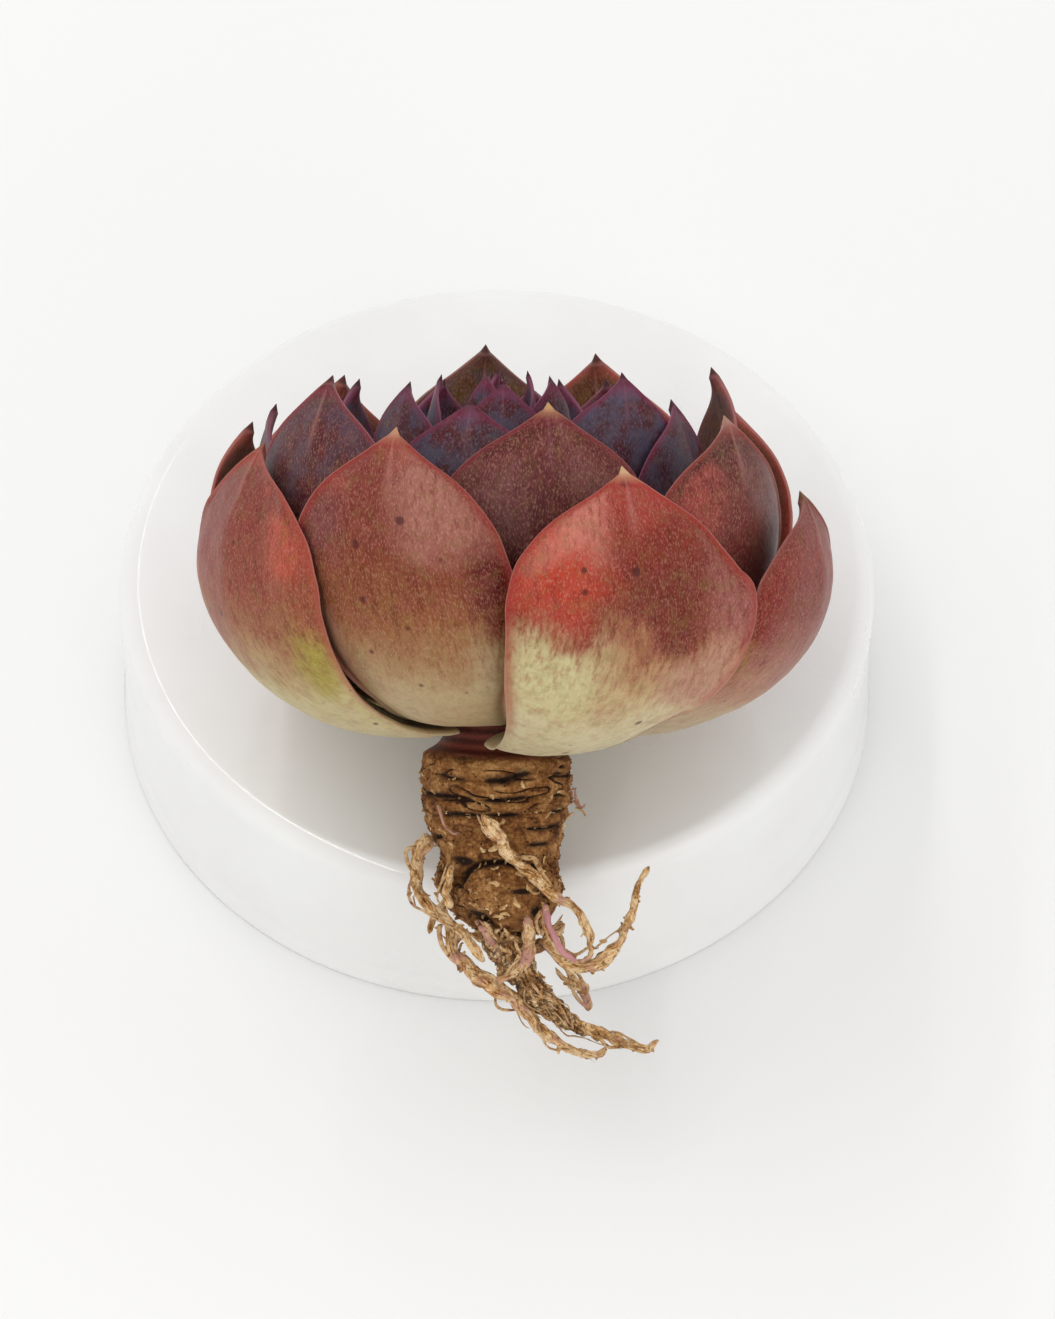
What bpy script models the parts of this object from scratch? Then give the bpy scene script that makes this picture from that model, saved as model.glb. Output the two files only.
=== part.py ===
"""A bare-rooted rosette succulent leaning on an upturned translucent tub.

The rosette is drawn in its own frame, in millimetres: +Z runs out of the growing tip along the
plant's axis, the lowest leaves join the stem at Z = 0, and the stem and roots hang below that.
An empty leans that frame back until the leaf bellies rest on the tub and the stem lies on its edge.
"""

import math

import bmesh
import bpy
import numpy as np
from mathutils import Matrix, Vector
from mathutils.bvhtree import BVHTree

MM = 0.001  # one millimetre in Blender's metres
GAP = 0.35  # air left between two pieces that touch

# Tub, standing upside down
TUB_TOP_RADIUS = 46.0
TUB_FLARE = 1.3  # how much wider the rim is than the top, in radius
TUB_HEIGHT = 24.0
TUB_WALL = 1.4
TUB_EDGE_ROUND = 2.4
TUB_SIDES = 72

# Plant
LEAVES = 34
GOLDEN_TURN = 137.5077  # degrees from one leaf to the next
FIRST_LEAF_TURN = 23.0  # where the oldest leaf faces, in degrees from the front
ROSETTE_RADIUS = 35.0  # belly of the oldest leaves
ROSETTE_HEIGHT = 35.0  # tips of the oldest leaves
CENTRE_RISE = 6.5  # how far the youngest tips stand above the oldest
LEAF_HALF_WIDTH = 14.2
LEAF_THICKNESS = 5.2
LEAN_BACK = 50.0  # degrees from upright
LEAN_RIGHT = 1.5

# Stem, from the leaves down
STEM_RADIUS = 8.3
STEM_LENGTH = 22.5
CORE_RADIUS = 6.4  # where the oldest leaves are attached
CORE_HEIGHT = 18.5
LEAF_SEAT = 0.75  # from the core to the middle of a leaf's base
RING_PITCH = 2.3  # between the scars of fallen leaves
RING_DEPTH = 0.35
CROWN_HEEL = 0.4  # how much further the root crown bulges at the back

# Small changes that tell one leaf from the next: turn in degrees, tip rise, tip opening and sideways
# tip lean in millimetres, and a share of the usual width. The oldest leaf is 0.
LEAF_CHARACTER = {
    0: {"turn": 1, "rise": -3.6, "open": 0.5, "lean": -0.4, "width": 0.98},
    1: {"turn": -2, "rise": 8.0, "open": 0.0, "lean": 0.5},
    2: {"turn": 0, "rise": -3.0, "open": -0.6, "lean": -0.6, "width": 1.1},
    3: {"turn": -6, "rise": -7.0, "open": 4.6, "lean": 1.2, "width": 1.05},
    4: {"turn": 8, "rise": 4.0, "open": 0.0, "lean": 0.0},
    5: {"turn": -9, "rise": -1.4, "open": 0.0, "lean": -2.6, "width": 0.9},
    6: {"turn": -3, "rise": 1.6, "open": 3.4, "lean": 0.0},
    7: {"turn": -12, "rise": -2.2, "open": 2.8, "lean": 0.0},
    8: {"turn": 12, "rise": 0.0, "open": 1.6, "lean": 0.6, "width": 1.14},
    9: {"turn": 5, "rise": 7.0, "open": 0.0, "lean": 0.0},
    10: {"turn": -6, "rise": 2.8, "open": 0.4, "lean": 0.5},
    11: {"turn": 6, "rise": 4.6, "open": -1.0, "lean": -0.6},
    13: {"turn": -1, "rise": 0.0, "open": 0.0, "lean": 0.6, "width": 1.1},
    14: {"turn": 0, "rise": 2.4, "open": 0.0, "lean": 0.0},
    15: {"turn": -10, "rise": -1.5, "open": 4.6, "lean": 0.0},
    18: {"turn": 10, "rise": -0.8, "open": 0.0, "lean": 0.0, "width": 1.1},
    20: {"turn": 0, "rise": 0.6, "open": 1.5, "lean": -1.0},
    21: {"turn": 6, "rise": 1.9, "open": 4.6, "lean": 0.6, "width": 1.15},
}

# Half-width of a leaf along its length, as shares of its length and of its widest half-width
OUTLINE_ALONG = np.array([0, 0.12, 0.30, 0.50, 0.66, 0.78, 0.87, 0.93, 0.97, 1.0])
OUTLINE_WIDTH = np.array([0.36, 0.46, 0.64, 0.89, 0.99, 1.0, 0.87, 0.60, 0.27, 0.05])

# Roots, each a list of points (right, towards the front, up) in millimetres, with its radii at both
# ends. A point that falls inside the stem is moved out to its surface, so a root may hug the stem.
ROOTS = {
    "root_strap_front": {
        "points": [(-1.2, 7.5, -7.0), (0.5, 6.0, -9.6), (1.4, 5.0, -12.0), (3.6, 5.4, -14.0),
                   (6.4, 7.0, -15.8), (9.3, 7.2, -17.6), (10.6, 6.6, -20.0), (10.9, 5.8, -22.0)],
        "radii": (0.8, 0.42),
    },
    "root_loop_left": {
        "points": [(-6.8, 0.8, -10.2), (-8.4, 1.8, -11.8), (-8.7, 2.2, -14.4), (-8.2, 2.6, -16.8),
                   (-6.8, 3.4, -18.6), (-4.6, 4.6, -19.8), (-2.6, 5.4, -21.6), (-0.8, 5.4, -24.0)],
        "radii": (0.7, 0.5),
    },
    "root_side_left": {
        "points": [(-3.6, 4.8, -13.2), (-4.9, 5.2, -14.8), (-5.4, 5.2, -16.4), (-4.7, 5.6, -18.0)],
        "radii": (0.62, 0.5),
    },
    "root_long_left": {
        "points": [(-3.4, 1.0, -20.4), (-4.6, 2.0, -22.8), (-2.6, 2.6, -25.0), (0.1, 2.8, -27.2),
                   (2.4, 2.6, -28.4), (4.2, 2.6, -30.2), (6.2, 2.4, -32.4), (9.2, 2.2, -34.2),
                   (12.2, 2.2, -34.8), (13.0, 2.2, -33.8)],
        "radii": (0.95, 0.36),
    },
    "root_hook_right": {
        "points": [(4.9, 1.6, -19.6), (6.4, 3.4, -22.0), (9.2, 4.4, -24.4), (12.4, 4.6, -23.6),
                   (14.6, 4.8, -20.6), (15.7, 5.0, -17.6), (16.4, 5.2, -14.6), (17.3, 5.4, -12.8)],
        "radii": (0.95, 0.4),
    },
    "root_pink": {
        "points": [(5.4, 6.2, -17.0), (6.1, 7.0, -18.6), (6.8, 7.4, -20.4), (7.9, 7.4, -22.2),
                   (9.4, 6.8, -23.6)],
        "radii": (0.42, 0.36),
    },
    "root_knot": {
        "points": [(2.8, 5.4, -18.4), (3.8, 5.0, -21.2), (3.7, 5.0, -23.4), (2.4, 5.4, -25.2),
                   (0.8, 5.4, -26.2)],
        "radii": (0.95, 0.6),
    },
    "root_stub_front": {
        "points": [(-0.4, 4.6, -19.8), (0.3, 4.4, -22.0), (1.0, 3.8, -24.4)],
        "radii": (0.7, 0.5),
    },
    "root_tail_low": {
        "points": [(3.0, -0.6, -22.4), (3.6, -0.2, -25.2), (5.2, 0.4, -28.0), (8.0, 0.6, -30.6),
                   (11.0, 0.6, -32.0), (14.0, 0.6, -33.0), (17.6, 0.6, -34.2), (19.2, 0.6, -33.4)],
        "radii": (0.95, 0.32),
    },
    "root_tail_right": {
        "points": [(4.3, -0.6, -20.2), (7.0, -0.8, -23.6), (9.2, -1.0, -26.2), (10.8, -1.2, -28.6),
                   (11.0, -1.4, -30.4)],
        "radii": (0.75, 0.4),
    },
    "root_behind": {
        "points": [(-1.0, -3.0, -20.4), (0.4, -3.4, -23.4), (2.8, -3.4, -26.6), (5.2, -3.0, -29.4)],
        "radii": (0.8, 0.42),
    },
    "root_behind_left": {
        "points": [(-3.6, -5.4, -17.4), (-6.2, -6.0, -19.8), (-7.2, -5.6, -22.6)],
        "radii": (0.6, 0.4),
    },
}
ROOT_SIDES = 8
ROOT_STEPS = 2  # rings between two points of a root


def clear_scene():
    for old in list(bpy.data.objects):
        bpy.data.objects.remove(old)


def blend(start, end, share):
    return start + (end - start) * share


def ease(low, high, value):
    """0 below low, 1 above high, smooth in between."""
    share = np.clip((value - low) / (high - low), 0, 1)
    return share * share * (3 - 2 * share)


def material(name, colour, roughness, alpha=1.0):
    made = bpy.data.materials.new(name)
    made.use_nodes = True
    shader = made.node_tree.nodes["Principled BSDF"]
    shader.inputs["Base Color"].default_value = (*colour, 1)
    shader.inputs["Roughness"].default_value = roughness
    shader.inputs["Metallic"].default_value = 0
    shader.inputs["Alpha"].default_value = alpha
    return made


def add_object(name, points, faces, finish, parent):
    """One named object from points in millimetres."""
    mesh = bpy.data.meshes.new(name)
    mesh.from_pydata([tuple(float(x) * MM for x in p) for p in points], [], faces)
    made = bmesh.new()
    made.from_mesh(mesh)
    bmesh.ops.triangulate(made, faces=made.faces[:])
    bmesh.ops.recalc_face_normals(made, faces=made.faces[:])
    made.to_mesh(mesh)
    made.free()
    mesh.shade_smooth()
    mesh.materials.append(finish)
    placed = bpy.data.objects.new(name, mesh)
    bpy.context.scene.collection.objects.link(placed)
    placed.parent = parent
    return placed


def ring_faces(rings, sides):
    """Quads between closed rings of points, with an n-gon over each end."""
    faces = []
    for ring in range(rings - 1):
        for side in range(sides):
            a = ring * sides + side
            b = ring * sides + (side + 1) % sides
            faces.append((a, b, b + sides, a + sides))
    faces.append(tuple(range(sides))[::-1])
    faces.append(tuple(range((rings - 1) * sides, rings * sides)))
    return faces


# ---------------------------------------------------------------- tub


def tub_profile():
    """(radius, height) round the tub's wall, from the inside of the top to the outside of it."""
    slope = TUB_FLARE / TUB_HEIGHT
    rim = TUB_TOP_RADIUS + TUB_FLARE
    inner_round = max(TUB_EDGE_ROUND - TUB_WALL, 0.6)
    ceiling = TUB_HEIGHT - TUB_WALL
    corner = TUB_TOP_RADIUS - TUB_WALL
    points = [(corner - inner_round, ceiling)]
    for step in (30, 60, 90):
        turn = math.radians(step)
        points.append((
            corner - inner_round + inner_round * math.sin(turn),
            ceiling - inner_round + inner_round * math.cos(turn),
        ))
    points.append((rim - TUB_WALL, 0.0))
    points.append((rim, 0.0))
    for step in (90, 72, 54, 36, 18, 0):
        turn = math.radians(step)
        height = TUB_HEIGHT - TUB_EDGE_ROUND + TUB_EDGE_ROUND * math.cos(turn)
        lean_out = slope * (TUB_HEIGHT - height)
        points.append((
            TUB_TOP_RADIUS - TUB_EDGE_ROUND + TUB_EDGE_ROUND * math.sin(turn) + lean_out,
            height,
        ))
    return points


def make_tub(finish, parent):
    profile = tub_profile()
    points = []
    for side in range(TUB_SIDES):
        turn = 2 * math.pi * side / TUB_SIDES
        points += [(r * math.cos(turn), r * math.sin(turn), z) for r, z in profile]
    count = len(profile)
    faces = []
    for side in range(TUB_SIDES):
        a = side * count
        b = (side + 1) % TUB_SIDES * count
        faces += [(a + k, a + k + 1, b + k + 1, b + k) for k in range(count - 1)]
    faces.append(tuple(side * count for side in range(TUB_SIDES)))
    faces.append(tuple(side * count + count - 1 for side in range(TUB_SIDES)))
    return add_object("tub", points, faces, finish, parent)


# ---------------------------------------------------------------- leaves


def core_radius(height):
    """Radius of the stem inside the rosette, where the leaves are attached."""
    share = np.clip(height / CORE_HEIGHT, 0, 1)
    return CORE_RADIUS * (1 - share) ** 0.9


def leaf_profile(number):
    """Four (radius, height) points of the curve that a leaf's midline follows, and its character."""
    age = number / (LEAVES - 1)  # 0 for the oldest leaf, 1 for the youngest
    inward = age**1.45
    own = LEAF_CHARACTER.get(number, {})
    seat_height = blend(0.9, CORE_HEIGHT, age)
    seat = float(core_radius(seat_height)) + LEAF_SEAT
    belly = blend(1.23 * ROSETTE_RADIUS, 4.0, inward)
    tip_height = ROSETTE_HEIGHT + CENTRE_RISE * inward**0.6 + own.get("rise", 0.0)
    tip_radius = blend(0.885 * ROSETTE_RADIUS, 1.2, inward) + own.get("open", 0.0)
    curve = np.array([
        (seat, seat_height),
        (blend(0.69 * ROSETTE_RADIUS, 3.2, inward), blend(-3.2, CORE_HEIGHT + 3.5, age**1.1)),
        (belly + 0.6 * own.get("open", 0.0), blend(0.37 * ROSETTE_HEIGHT, 31.0, inward) + 0.4 * own.get("rise", 0.0)),
        (tip_radius, tip_height),
    ])
    return curve, inward, own


def outline(along):
    """Share of the leaf's widest half-width at a share of its length: a smooth curve through the outline."""
    slopes = np.gradient(OUTLINE_WIDTH, OUTLINE_ALONG)
    span = np.clip(np.searchsorted(OUTLINE_ALONG, along) - 1, 0, len(OUTLINE_ALONG) - 2)
    width = OUTLINE_ALONG[span + 1] - OUTLINE_ALONG[span]
    t = (along - OUTLINE_ALONG[span]) / width
    return (
        (2 * t**3 - 3 * t**2 + 1) * OUTLINE_WIDTH[span]
        + (t**3 - 2 * t**2 + t) * width * slopes[span]
        + (-2 * t**3 + 3 * t**2) * OUTLINE_WIDTH[span + 1]
        + (t**3 - t**2) * width * slopes[span + 1]
    )


def leaf_sheet(number, along):
    """The line down the leaf's back and the directions across it at each share of its length."""
    curve, inward, own = leaf_profile(number)
    t = along[:, None]
    midline = (1 - t) ** 3 * curve[0] + 3 * (1 - t) ** 2 * t * curve[1] + 3 * (1 - t) * t**2 * curve[2] + t**3 * curve[3]
    tangent = (1 - t) ** 2 * (curve[1] - curve[0]) + 2 * (1 - t) * t * (curve[2] - curve[1]) + t**2 * (curve[3] - curve[2])
    tangent /= np.linalg.norm(tangent, axis=1)[:, None]
    turn = math.radians(FIRST_LEAF_TURN + number * GOLDEN_TURN + own.get("turn", 0.0))
    outwards = np.array([math.sin(turn), -math.cos(turn), 0.0])
    sideways = np.array([math.cos(turn), math.sin(turn), 0.0])
    up = np.array([0.0, 0.0, 1.0])
    centre = midline[:, :1] * outwards + midline[:, 1:] * up
    centre = centre + (own.get("lean", 0.0) * ease(0.6, 1.0, along))[:, None] * sideways
    inwards = -tangent[:, 1:] * outwards + tangent[:, :1] * up
    half = blend(LEAF_HALF_WIDTH, 3.2, inward**1.1) * own.get("width", 1.0) * outline(along)
    cup = np.maximum(midline[:, 0] * 0.78, 3.2)
    cup = np.maximum(blend(34.0, cup, ease(0.0, 0.34, along)), half * 0.8)
    thick = blend(LEAF_THICKNESS, 1.5, inward) * (0.45 + 0.55 * ease(0.0, 0.45, along)) * (1 - 0.82 * ease(0.62, 1.0, along))
    return {"centre": centre, "sideways": sideways, "inwards": inwards, "half": half, "cup": cup, "thick": thick}


def on_sheet(sheet, row, across, depth):
    """Point at a share across the leaf, from -1 to 1, that deep into the rosette from the leaf's back."""
    bend = across * sheet["half"][row] / sheet["cup"][row]
    cup = sheet["cup"][row]
    return (
        sheet["centre"][row]
        + (cup - depth) * math.sin(bend) * sheet["sideways"]
        + (cup - (cup - depth) * math.cos(bend)) * sheet["inwards"][row]
    )


def room_inside(sheet, rows, columns, younger, clearance):
    """How deep the leaf may reach at each row and column before it meets a younger leaf."""
    reach = 11.0  # millimetres looked at on each side of the sheet
    room = np.full((rows, len(columns)), 99.0)
    if younger is None:
        return room
    for row in range(rows):
        for column, across in enumerate(columns):
            far = Vector(on_sheet(sheet, row, across, -reach))
            near = Vector(on_sheet(sheet, row, across, 0.0))
            direction = (near - far).normalized()
            hit = younger.ray_cast(far, direction, 2 * reach)
            if hit[0] is not None:
                room[row, column] = hit[3] - reach - clearance
    return room


def least_nearby(room, spread):
    """Each value replaced by the least of those up to that many steps away."""
    padded = np.pad(room, spread, mode="edge")
    rows, columns = room.shape
    steps = range(2 * spread + 1)
    return np.min([padded[i : i + rows, j : j + columns] for i in steps for j in steps], axis=0)


def softened(field, passes=3):
    for _ in range(passes):
        padded = np.pad(field, 1, mode="edge")
        field = 0.4 * field + 0.15 * (padded[:-2, 1:-1] + padded[2:, 1:-1] + padded[1:-1, :-2] + padded[1:-1, 2:])
    return field


def leaf_detail(number):
    """Rows along a leaf and points round it: the large outer leaves get more."""
    if number < 12:
        return 13, 14
    if number < 21:
        return 11, 12
    return 8, 10


def leaf_shell(number, younger, clearance, spread):
    """Points and faces of one leaf, which lies on the younger leaves inside it."""
    rows, sides = leaf_detail(number)
    fine = 2 * rows - 1
    along = np.linspace(0, 1, fine) ** 0.93
    sheet = leaf_sheet(number, along)
    columns = np.linspace(-1.1, 1.1, 15)
    room = least_nearby(room_inside(sheet, fine, columns, younger, clearance), spread)
    flesh = sheet["thick"][:, None] * np.clip(1 - columns**2, 0, 1) ** 0.65
    shift = softened(0.8 * np.clip(0.7 * flesh - room, 0, None))
    points = []
    for row in range(0, fine, 2):
        for side in range(sides):
            turn = 2 * math.pi * (side + 0.5) / sides
            across = math.cos(turn) / math.cos(math.pi / sides)
            swell = abs(math.sin(turn)) ** 1.3 * sheet["thick"][row]
            pushed = np.interp(across, columns, shift[row])
            deepest = np.interp(across, columns, room[row])
            face = min(swell - pushed, deepest)
            back = min(-pushed, face - 0.25 - 0.3 * abs(math.sin(turn)))
            points.append(on_sheet(sheet, row, across, face if math.sin(turn) > 0 else back))
    points = np.array(points)
    radius = np.hypot(points[:, 0], points[:, 1])
    least_radius = core_radius(points[:, 2]) + GAP
    close = (radius < least_radius) & (points[:, 2] < CORE_HEIGHT)
    grow = np.where(close, least_radius / np.maximum(radius, 0.05), 1.0)
    points[:, :2] *= grow[:, None]
    return points, ring_faces(rows, sides)


def too_near(points, faces, younger, younger_points):
    """Whether a leaf cuts the younger leaves, or comes closer to them than it should."""
    if younger is None:
        return False
    own = BVHTree.FromPolygons([tuple(p) for p in points], faces)
    if younger.overlap(own):
        return True
    least = min(younger.find_nearest(Vector(p))[3] for p in points)
    nearby = (own.find_nearest(Vector(p), GAP)[3] for p in younger_points)
    return min(least, *(distance for distance in nearby if distance is not None), GAP) < 0.6 * GAP


def leaf_mesh(number, younger, younger_points):
    """The leaf with the least clearance that keeps it off the younger leaves."""
    for step in range(18):
        points, faces = leaf_shell(number, younger, GAP + 0.15 * (step % 6), 1 + step // 6)
        if not too_near(points, faces, younger, younger_points):
            break
    return points, faces


def make_leaves(finishes, parent):
    """All leaves, the youngest first, so that each older one can lie on those inside it."""
    made = []
    points, faces = [], []
    for number in reversed(range(LEAVES)):
        younger = BVHTree.FromPolygons(points, faces) if points else None
        own_points, own_faces = leaf_mesh(number, younger, points)
        start = len(points)
        points += [tuple(p) for p in own_points]
        faces += [tuple(start + k for k in face) for face in own_faces]
        finish = finishes[0] if number < 8 else finishes[1] if number < 16 else finishes[2]
        made.append(add_object(f"leaf_{number + 1:02d}", own_points, own_faces, finish, parent))
    return made


# ---------------------------------------------------------------- stem and roots

# (height, radius, sideways drift) of the stem, from the tip of the core to the bottom of the crown
STEM_OUTLINE = [
    (CORE_HEIGHT - 0.8, 0.2, 0.0),
    (CORE_HEIGHT - 1.6, 0.5, 0.0),
    (0.7 * CORE_HEIGHT, float(core_radius(0.7 * CORE_HEIGHT)), 0.0),
    (0.35 * CORE_HEIGHT, float(core_radius(0.35 * CORE_HEIGHT)), 0.0),
    (0.6, 0.97 * CORE_RADIUS, 0.0),
    (-1.0, CORE_RADIUS, 0.0),
    (-2.2, 0.98 * STEM_RADIUS, 0.0),
    (-0.28 * STEM_LENGTH, STEM_RADIUS, 0.1),
    (-0.38 * STEM_LENGTH, 0.91 * STEM_RADIUS, 0.0),
    (-0.50 * STEM_LENGTH, 0.80 * STEM_RADIUS, 0.3),
    (-0.57 * STEM_LENGTH, 0.79 * STEM_RADIUS, 0.5),
    (-0.72 * STEM_LENGTH, 0.83 * STEM_RADIUS, 0.9),
    (-0.84 * STEM_LENGTH, 0.70 * STEM_RADIUS, 1.2),
    (-0.94 * STEM_LENGTH, 0.44 * STEM_RADIUS, 1.7),
    (-STEM_LENGTH, 0.14 * STEM_RADIUS, 2.2),
]
STEM_SIDES = 24
STEM_ROWS = 30


def stem_radius(height, turn):
    """Radius at a height, with the rings that fallen leaves left and a lumpy crown."""
    rows = np.array(STEM_OUTLINE)[::-1]
    plain = float(np.interp(height, rows[:, 0], rows[:, 1]))
    ringed = float(ease(-0.60 * STEM_LENGTH, -0.48 * STEM_LENGTH, height)) * (height < -2.4)
    ring = RING_DEPTH * math.sin(2 * math.pi * height / RING_PITCH + 0.7 * math.sin(turn)) * ringed
    lumpy = float(ease(-0.45 * STEM_LENGTH, -0.6 * STEM_LENGTH, height))
    lumps = 0.05 * plain * lumpy * (math.sin(3 * turn + 0.4 * height) + 0.6 * math.sin(5 * turn - 0.3 * height))
    heel = CROWN_HEEL * max(0.0, math.sin(turn)) * lumpy * float(ease(-STEM_LENGTH, -0.85 * STEM_LENGTH, height))
    return plain + ring + lumps + heel


def stem_heights():
    """Rows of the stem: few in the hidden core, closer where the rings are."""
    core = [row[0] for row in STEM_OUTLINE if row[0] > -2.0]
    return core + list(np.linspace(-2.2, -STEM_LENGTH, STEM_ROWS - len(core)))


def stem_drift(height):
    """How far the stem's axis has wandered sideways at a height."""
    rows = np.array(STEM_OUTLINE)[::-1]
    return float(np.interp(height, rows[:, 0], rows[:, 2]))


def make_stem(finish, parent):
    heights = stem_heights()
    points = []
    for height in heights:
        drift = stem_drift(height)
        for side in range(STEM_SIDES):
            turn = 2 * math.pi * side / STEM_SIDES
            radius = stem_radius(height, turn)
            points.append((drift + radius * math.cos(turn), radius * math.sin(turn), height))
    return add_object("stem", points, ring_faces(len(heights), STEM_SIDES), finish, parent)


def smooth_path(knots, steps):
    """Points on a smooth curve through the knots, steps to each span."""
    knots = [np.array(k, float) for k in knots]
    ends = [2 * knots[0] - knots[1], *knots, 2 * knots[-1] - knots[-2]]
    path = []
    for a, b, c, d in zip(ends, ends[1:], ends[2:], ends[3:]):
        for step in range(steps):
            t = step / steps
            path.append(0.5 * (2 * b + (c - a) * t + (2 * a - 5 * b + 4 * c - d) * t**2 + (3 * b - a - 3 * c + d) * t**3))
    path.append(knots[-1])
    return path


def clear_of_stem(point, radius):
    """The point moved straight out from the stem's axis until a root that thick clears the stem."""
    x, y, z = point
    nearby = np.clip(z + np.array([-1.5, -0.75, 0, 0.75, 1.5]) * radius, -STEM_LENGTH, 0)
    drift = stem_drift(z)
    away = math.hypot(x - drift, y)
    turn = math.atan2(y, x - drift)
    least = max(stem_radius(height, turn) for height in nearby) + radius + GAP
    if z < -STEM_LENGTH - radius - GAP or away >= least:
        return np.array(point)
    return np.array([drift + least * math.cos(turn), least * math.sin(turn), z])


def make_root(name, root, finish, parent):
    """A tapering tube along the root's points. The second coordinate of a point runs towards the front."""
    path = smooth_path([(x, -y, z) for x, y, z in root["points"]], ROOT_STEPS)
    thick, thin = root["radii"]
    path = [clear_of_stem(p, blend(thick, thin, row / (len(path) - 1))) for row, p in enumerate(path)]
    points = []
    side_way = None
    for row, here in enumerate(path):
        ahead = path[min(row + 1, len(path) - 1)] - path[max(row - 1, 0)]
        ahead /= np.linalg.norm(ahead)
        if side_way is None:
            side_way = np.cross(ahead, (0.0, 1.0, 0.0))
        side_way = side_way - ahead * float(side_way @ ahead)
        side_way /= np.linalg.norm(side_way)
        other_way = np.cross(ahead, side_way)
        radius = blend(thick, thin, row / (len(path) - 1))
        for side in range(ROOT_SIDES):
            turn = 2 * math.pi * side / ROOT_SIDES
            points.append(here + radius * (math.cos(turn) * side_way + math.sin(turn) * other_way))
    return add_object(name, points, ring_faces(len(path), ROOT_SIDES), finish, parent)


# ---------------------------------------------------------------- placing the plant


def plant_turn():
    """The plant's lean as a rotation: first to the right, then back."""
    right = Matrix.Rotation(math.radians(LEAN_RIGHT), 4, "Y")
    return Matrix.Rotation(-math.radians(LEAN_BACK), 4, "X") @ right


def lowest_leaf(leaves, turned):
    """How far the leaves reach below the rosette's origin once the plant leans back."""
    return -min((turned @ v.co).z for leaf in leaves for v in leaf.data.vertices) / MM


def tub_clearance(parts, turned, origin_y, origin_z):
    """Least distance from the parts' surfaces to the tub, taken as a solid with a rounded top edge."""
    least = 99.0
    for place in (turned @ v.co / MM for part in parts for v in part.data.vertices):
        height = place.z + origin_z
        wall = TUB_TOP_RADIUS + TUB_FLARE * max(0.0, 1 - height / TUB_HEIGHT)
        outwards = math.hypot(place.x, place.y + origin_y) - (wall - TUB_EDGE_ROUND)
        upwards = height - (TUB_HEIGHT - TUB_EDGE_ROUND)
        outside = math.hypot(max(outwards, 0.0), max(upwards, 0.0)) + min(max(outwards, upwards), 0.0)
        least = min(least, outside - TUB_EDGE_ROUND)
    return least


def seat_plant(frame, leaves, below):
    """Leans the plant back, rests the leaf bellies on the tub and slides it until the stem lies on the edge.

    What hangs below the leaves, the stem and its roots, stays clear of the tub.
    """
    turned = plant_turn()
    origin_z = TUB_HEIGHT + GAP + lowest_leaf(leaves, turned)
    pressed, clear = -0.3 * TUB_TOP_RADIUS, -1.8 * TUB_TOP_RADIUS
    for _ in range(30):
        origin_y = (pressed + clear) / 2
        if tub_clearance(below, turned, origin_y, origin_z) < GAP:
            pressed = origin_y
        else:
            clear = origin_y
    frame.matrix_local = Matrix.Translation((0.0, clear * MM, origin_z * MM)) @ turned


def centre_on_origin(frame, parts):
    """Moves everything so that the origin is under the middle of the whole object."""
    bpy.context.view_layer.update()
    ys = [(part.matrix_world @ v.co).y for part in parts for v in part.data.vertices]
    xs = [(part.matrix_world @ v.co).x for part in parts for v in part.data.vertices]
    frame.location = (-(min(xs) + max(xs)) / 2, -(min(ys) + max(ys)) / 2, 0.0)


def main():
    clear_scene()
    stand_frame = bpy.data.objects.new("stand_frame", None)
    plant_frame = bpy.data.objects.new("plant_frame", None)
    for empty in (stand_frame, plant_frame):
        bpy.context.scene.collection.objects.link(empty)
    plant_frame.parent = stand_frame
    leaf_finishes = [
        material("leaf_outer", (0.36, 0.13, 0.10), 0.5),
        material("leaf_middle", (0.24, 0.06, 0.07), 0.5),
        material("leaf_inner", (0.10, 0.03, 0.07), 0.55),
    ]
    bark = material("stem_bark", (0.27, 0.16, 0.07), 0.9)
    root_skin = material("root_skin", (0.42, 0.27, 0.14), 0.85)
    frosted = material("frosted_plastic", (0.85, 0.85, 0.84), 0.4, 0.6)
    parts = [make_tub(frosted, stand_frame)]
    leaves = make_leaves(leaf_finishes, plant_frame)
    parts += leaves
    below = [make_stem(bark, plant_frame)]
    below += [make_root(name, root, root_skin, plant_frame) for name, root in ROOTS.items()]
    parts += below
    seat_plant(plant_frame, leaves, below)
    centre_on_origin(stand_frame, parts)


main()
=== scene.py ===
import math

import bmesh
import bpy
import numpy as np
from mathutils import Matrix, Vector, noise
from mathutils.bvhtree import BVHTree


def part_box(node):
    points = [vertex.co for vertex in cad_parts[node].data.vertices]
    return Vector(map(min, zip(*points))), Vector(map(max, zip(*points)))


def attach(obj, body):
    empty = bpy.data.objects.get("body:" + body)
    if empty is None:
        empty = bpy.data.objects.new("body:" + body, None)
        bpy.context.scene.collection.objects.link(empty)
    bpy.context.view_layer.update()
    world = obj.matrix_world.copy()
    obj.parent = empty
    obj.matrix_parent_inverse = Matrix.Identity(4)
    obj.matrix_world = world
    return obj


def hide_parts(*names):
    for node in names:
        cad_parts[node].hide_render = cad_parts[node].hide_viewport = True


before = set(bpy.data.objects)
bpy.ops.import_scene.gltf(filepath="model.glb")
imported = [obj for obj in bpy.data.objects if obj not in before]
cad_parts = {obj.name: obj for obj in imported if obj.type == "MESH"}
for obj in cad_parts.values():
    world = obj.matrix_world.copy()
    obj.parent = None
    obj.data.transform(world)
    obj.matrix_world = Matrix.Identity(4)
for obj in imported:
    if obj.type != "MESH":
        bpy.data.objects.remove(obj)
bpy.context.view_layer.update()  # bodies, nodes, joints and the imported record
scene = bpy.context.scene
mm = 0.001


def blend(start, end, share):
    return start + (end - start) * share


def ease(low, high, value):
    share = np.clip((value - low) / (high - low), 0, 1)
    return share * share * (3 - 2 * share)


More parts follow.
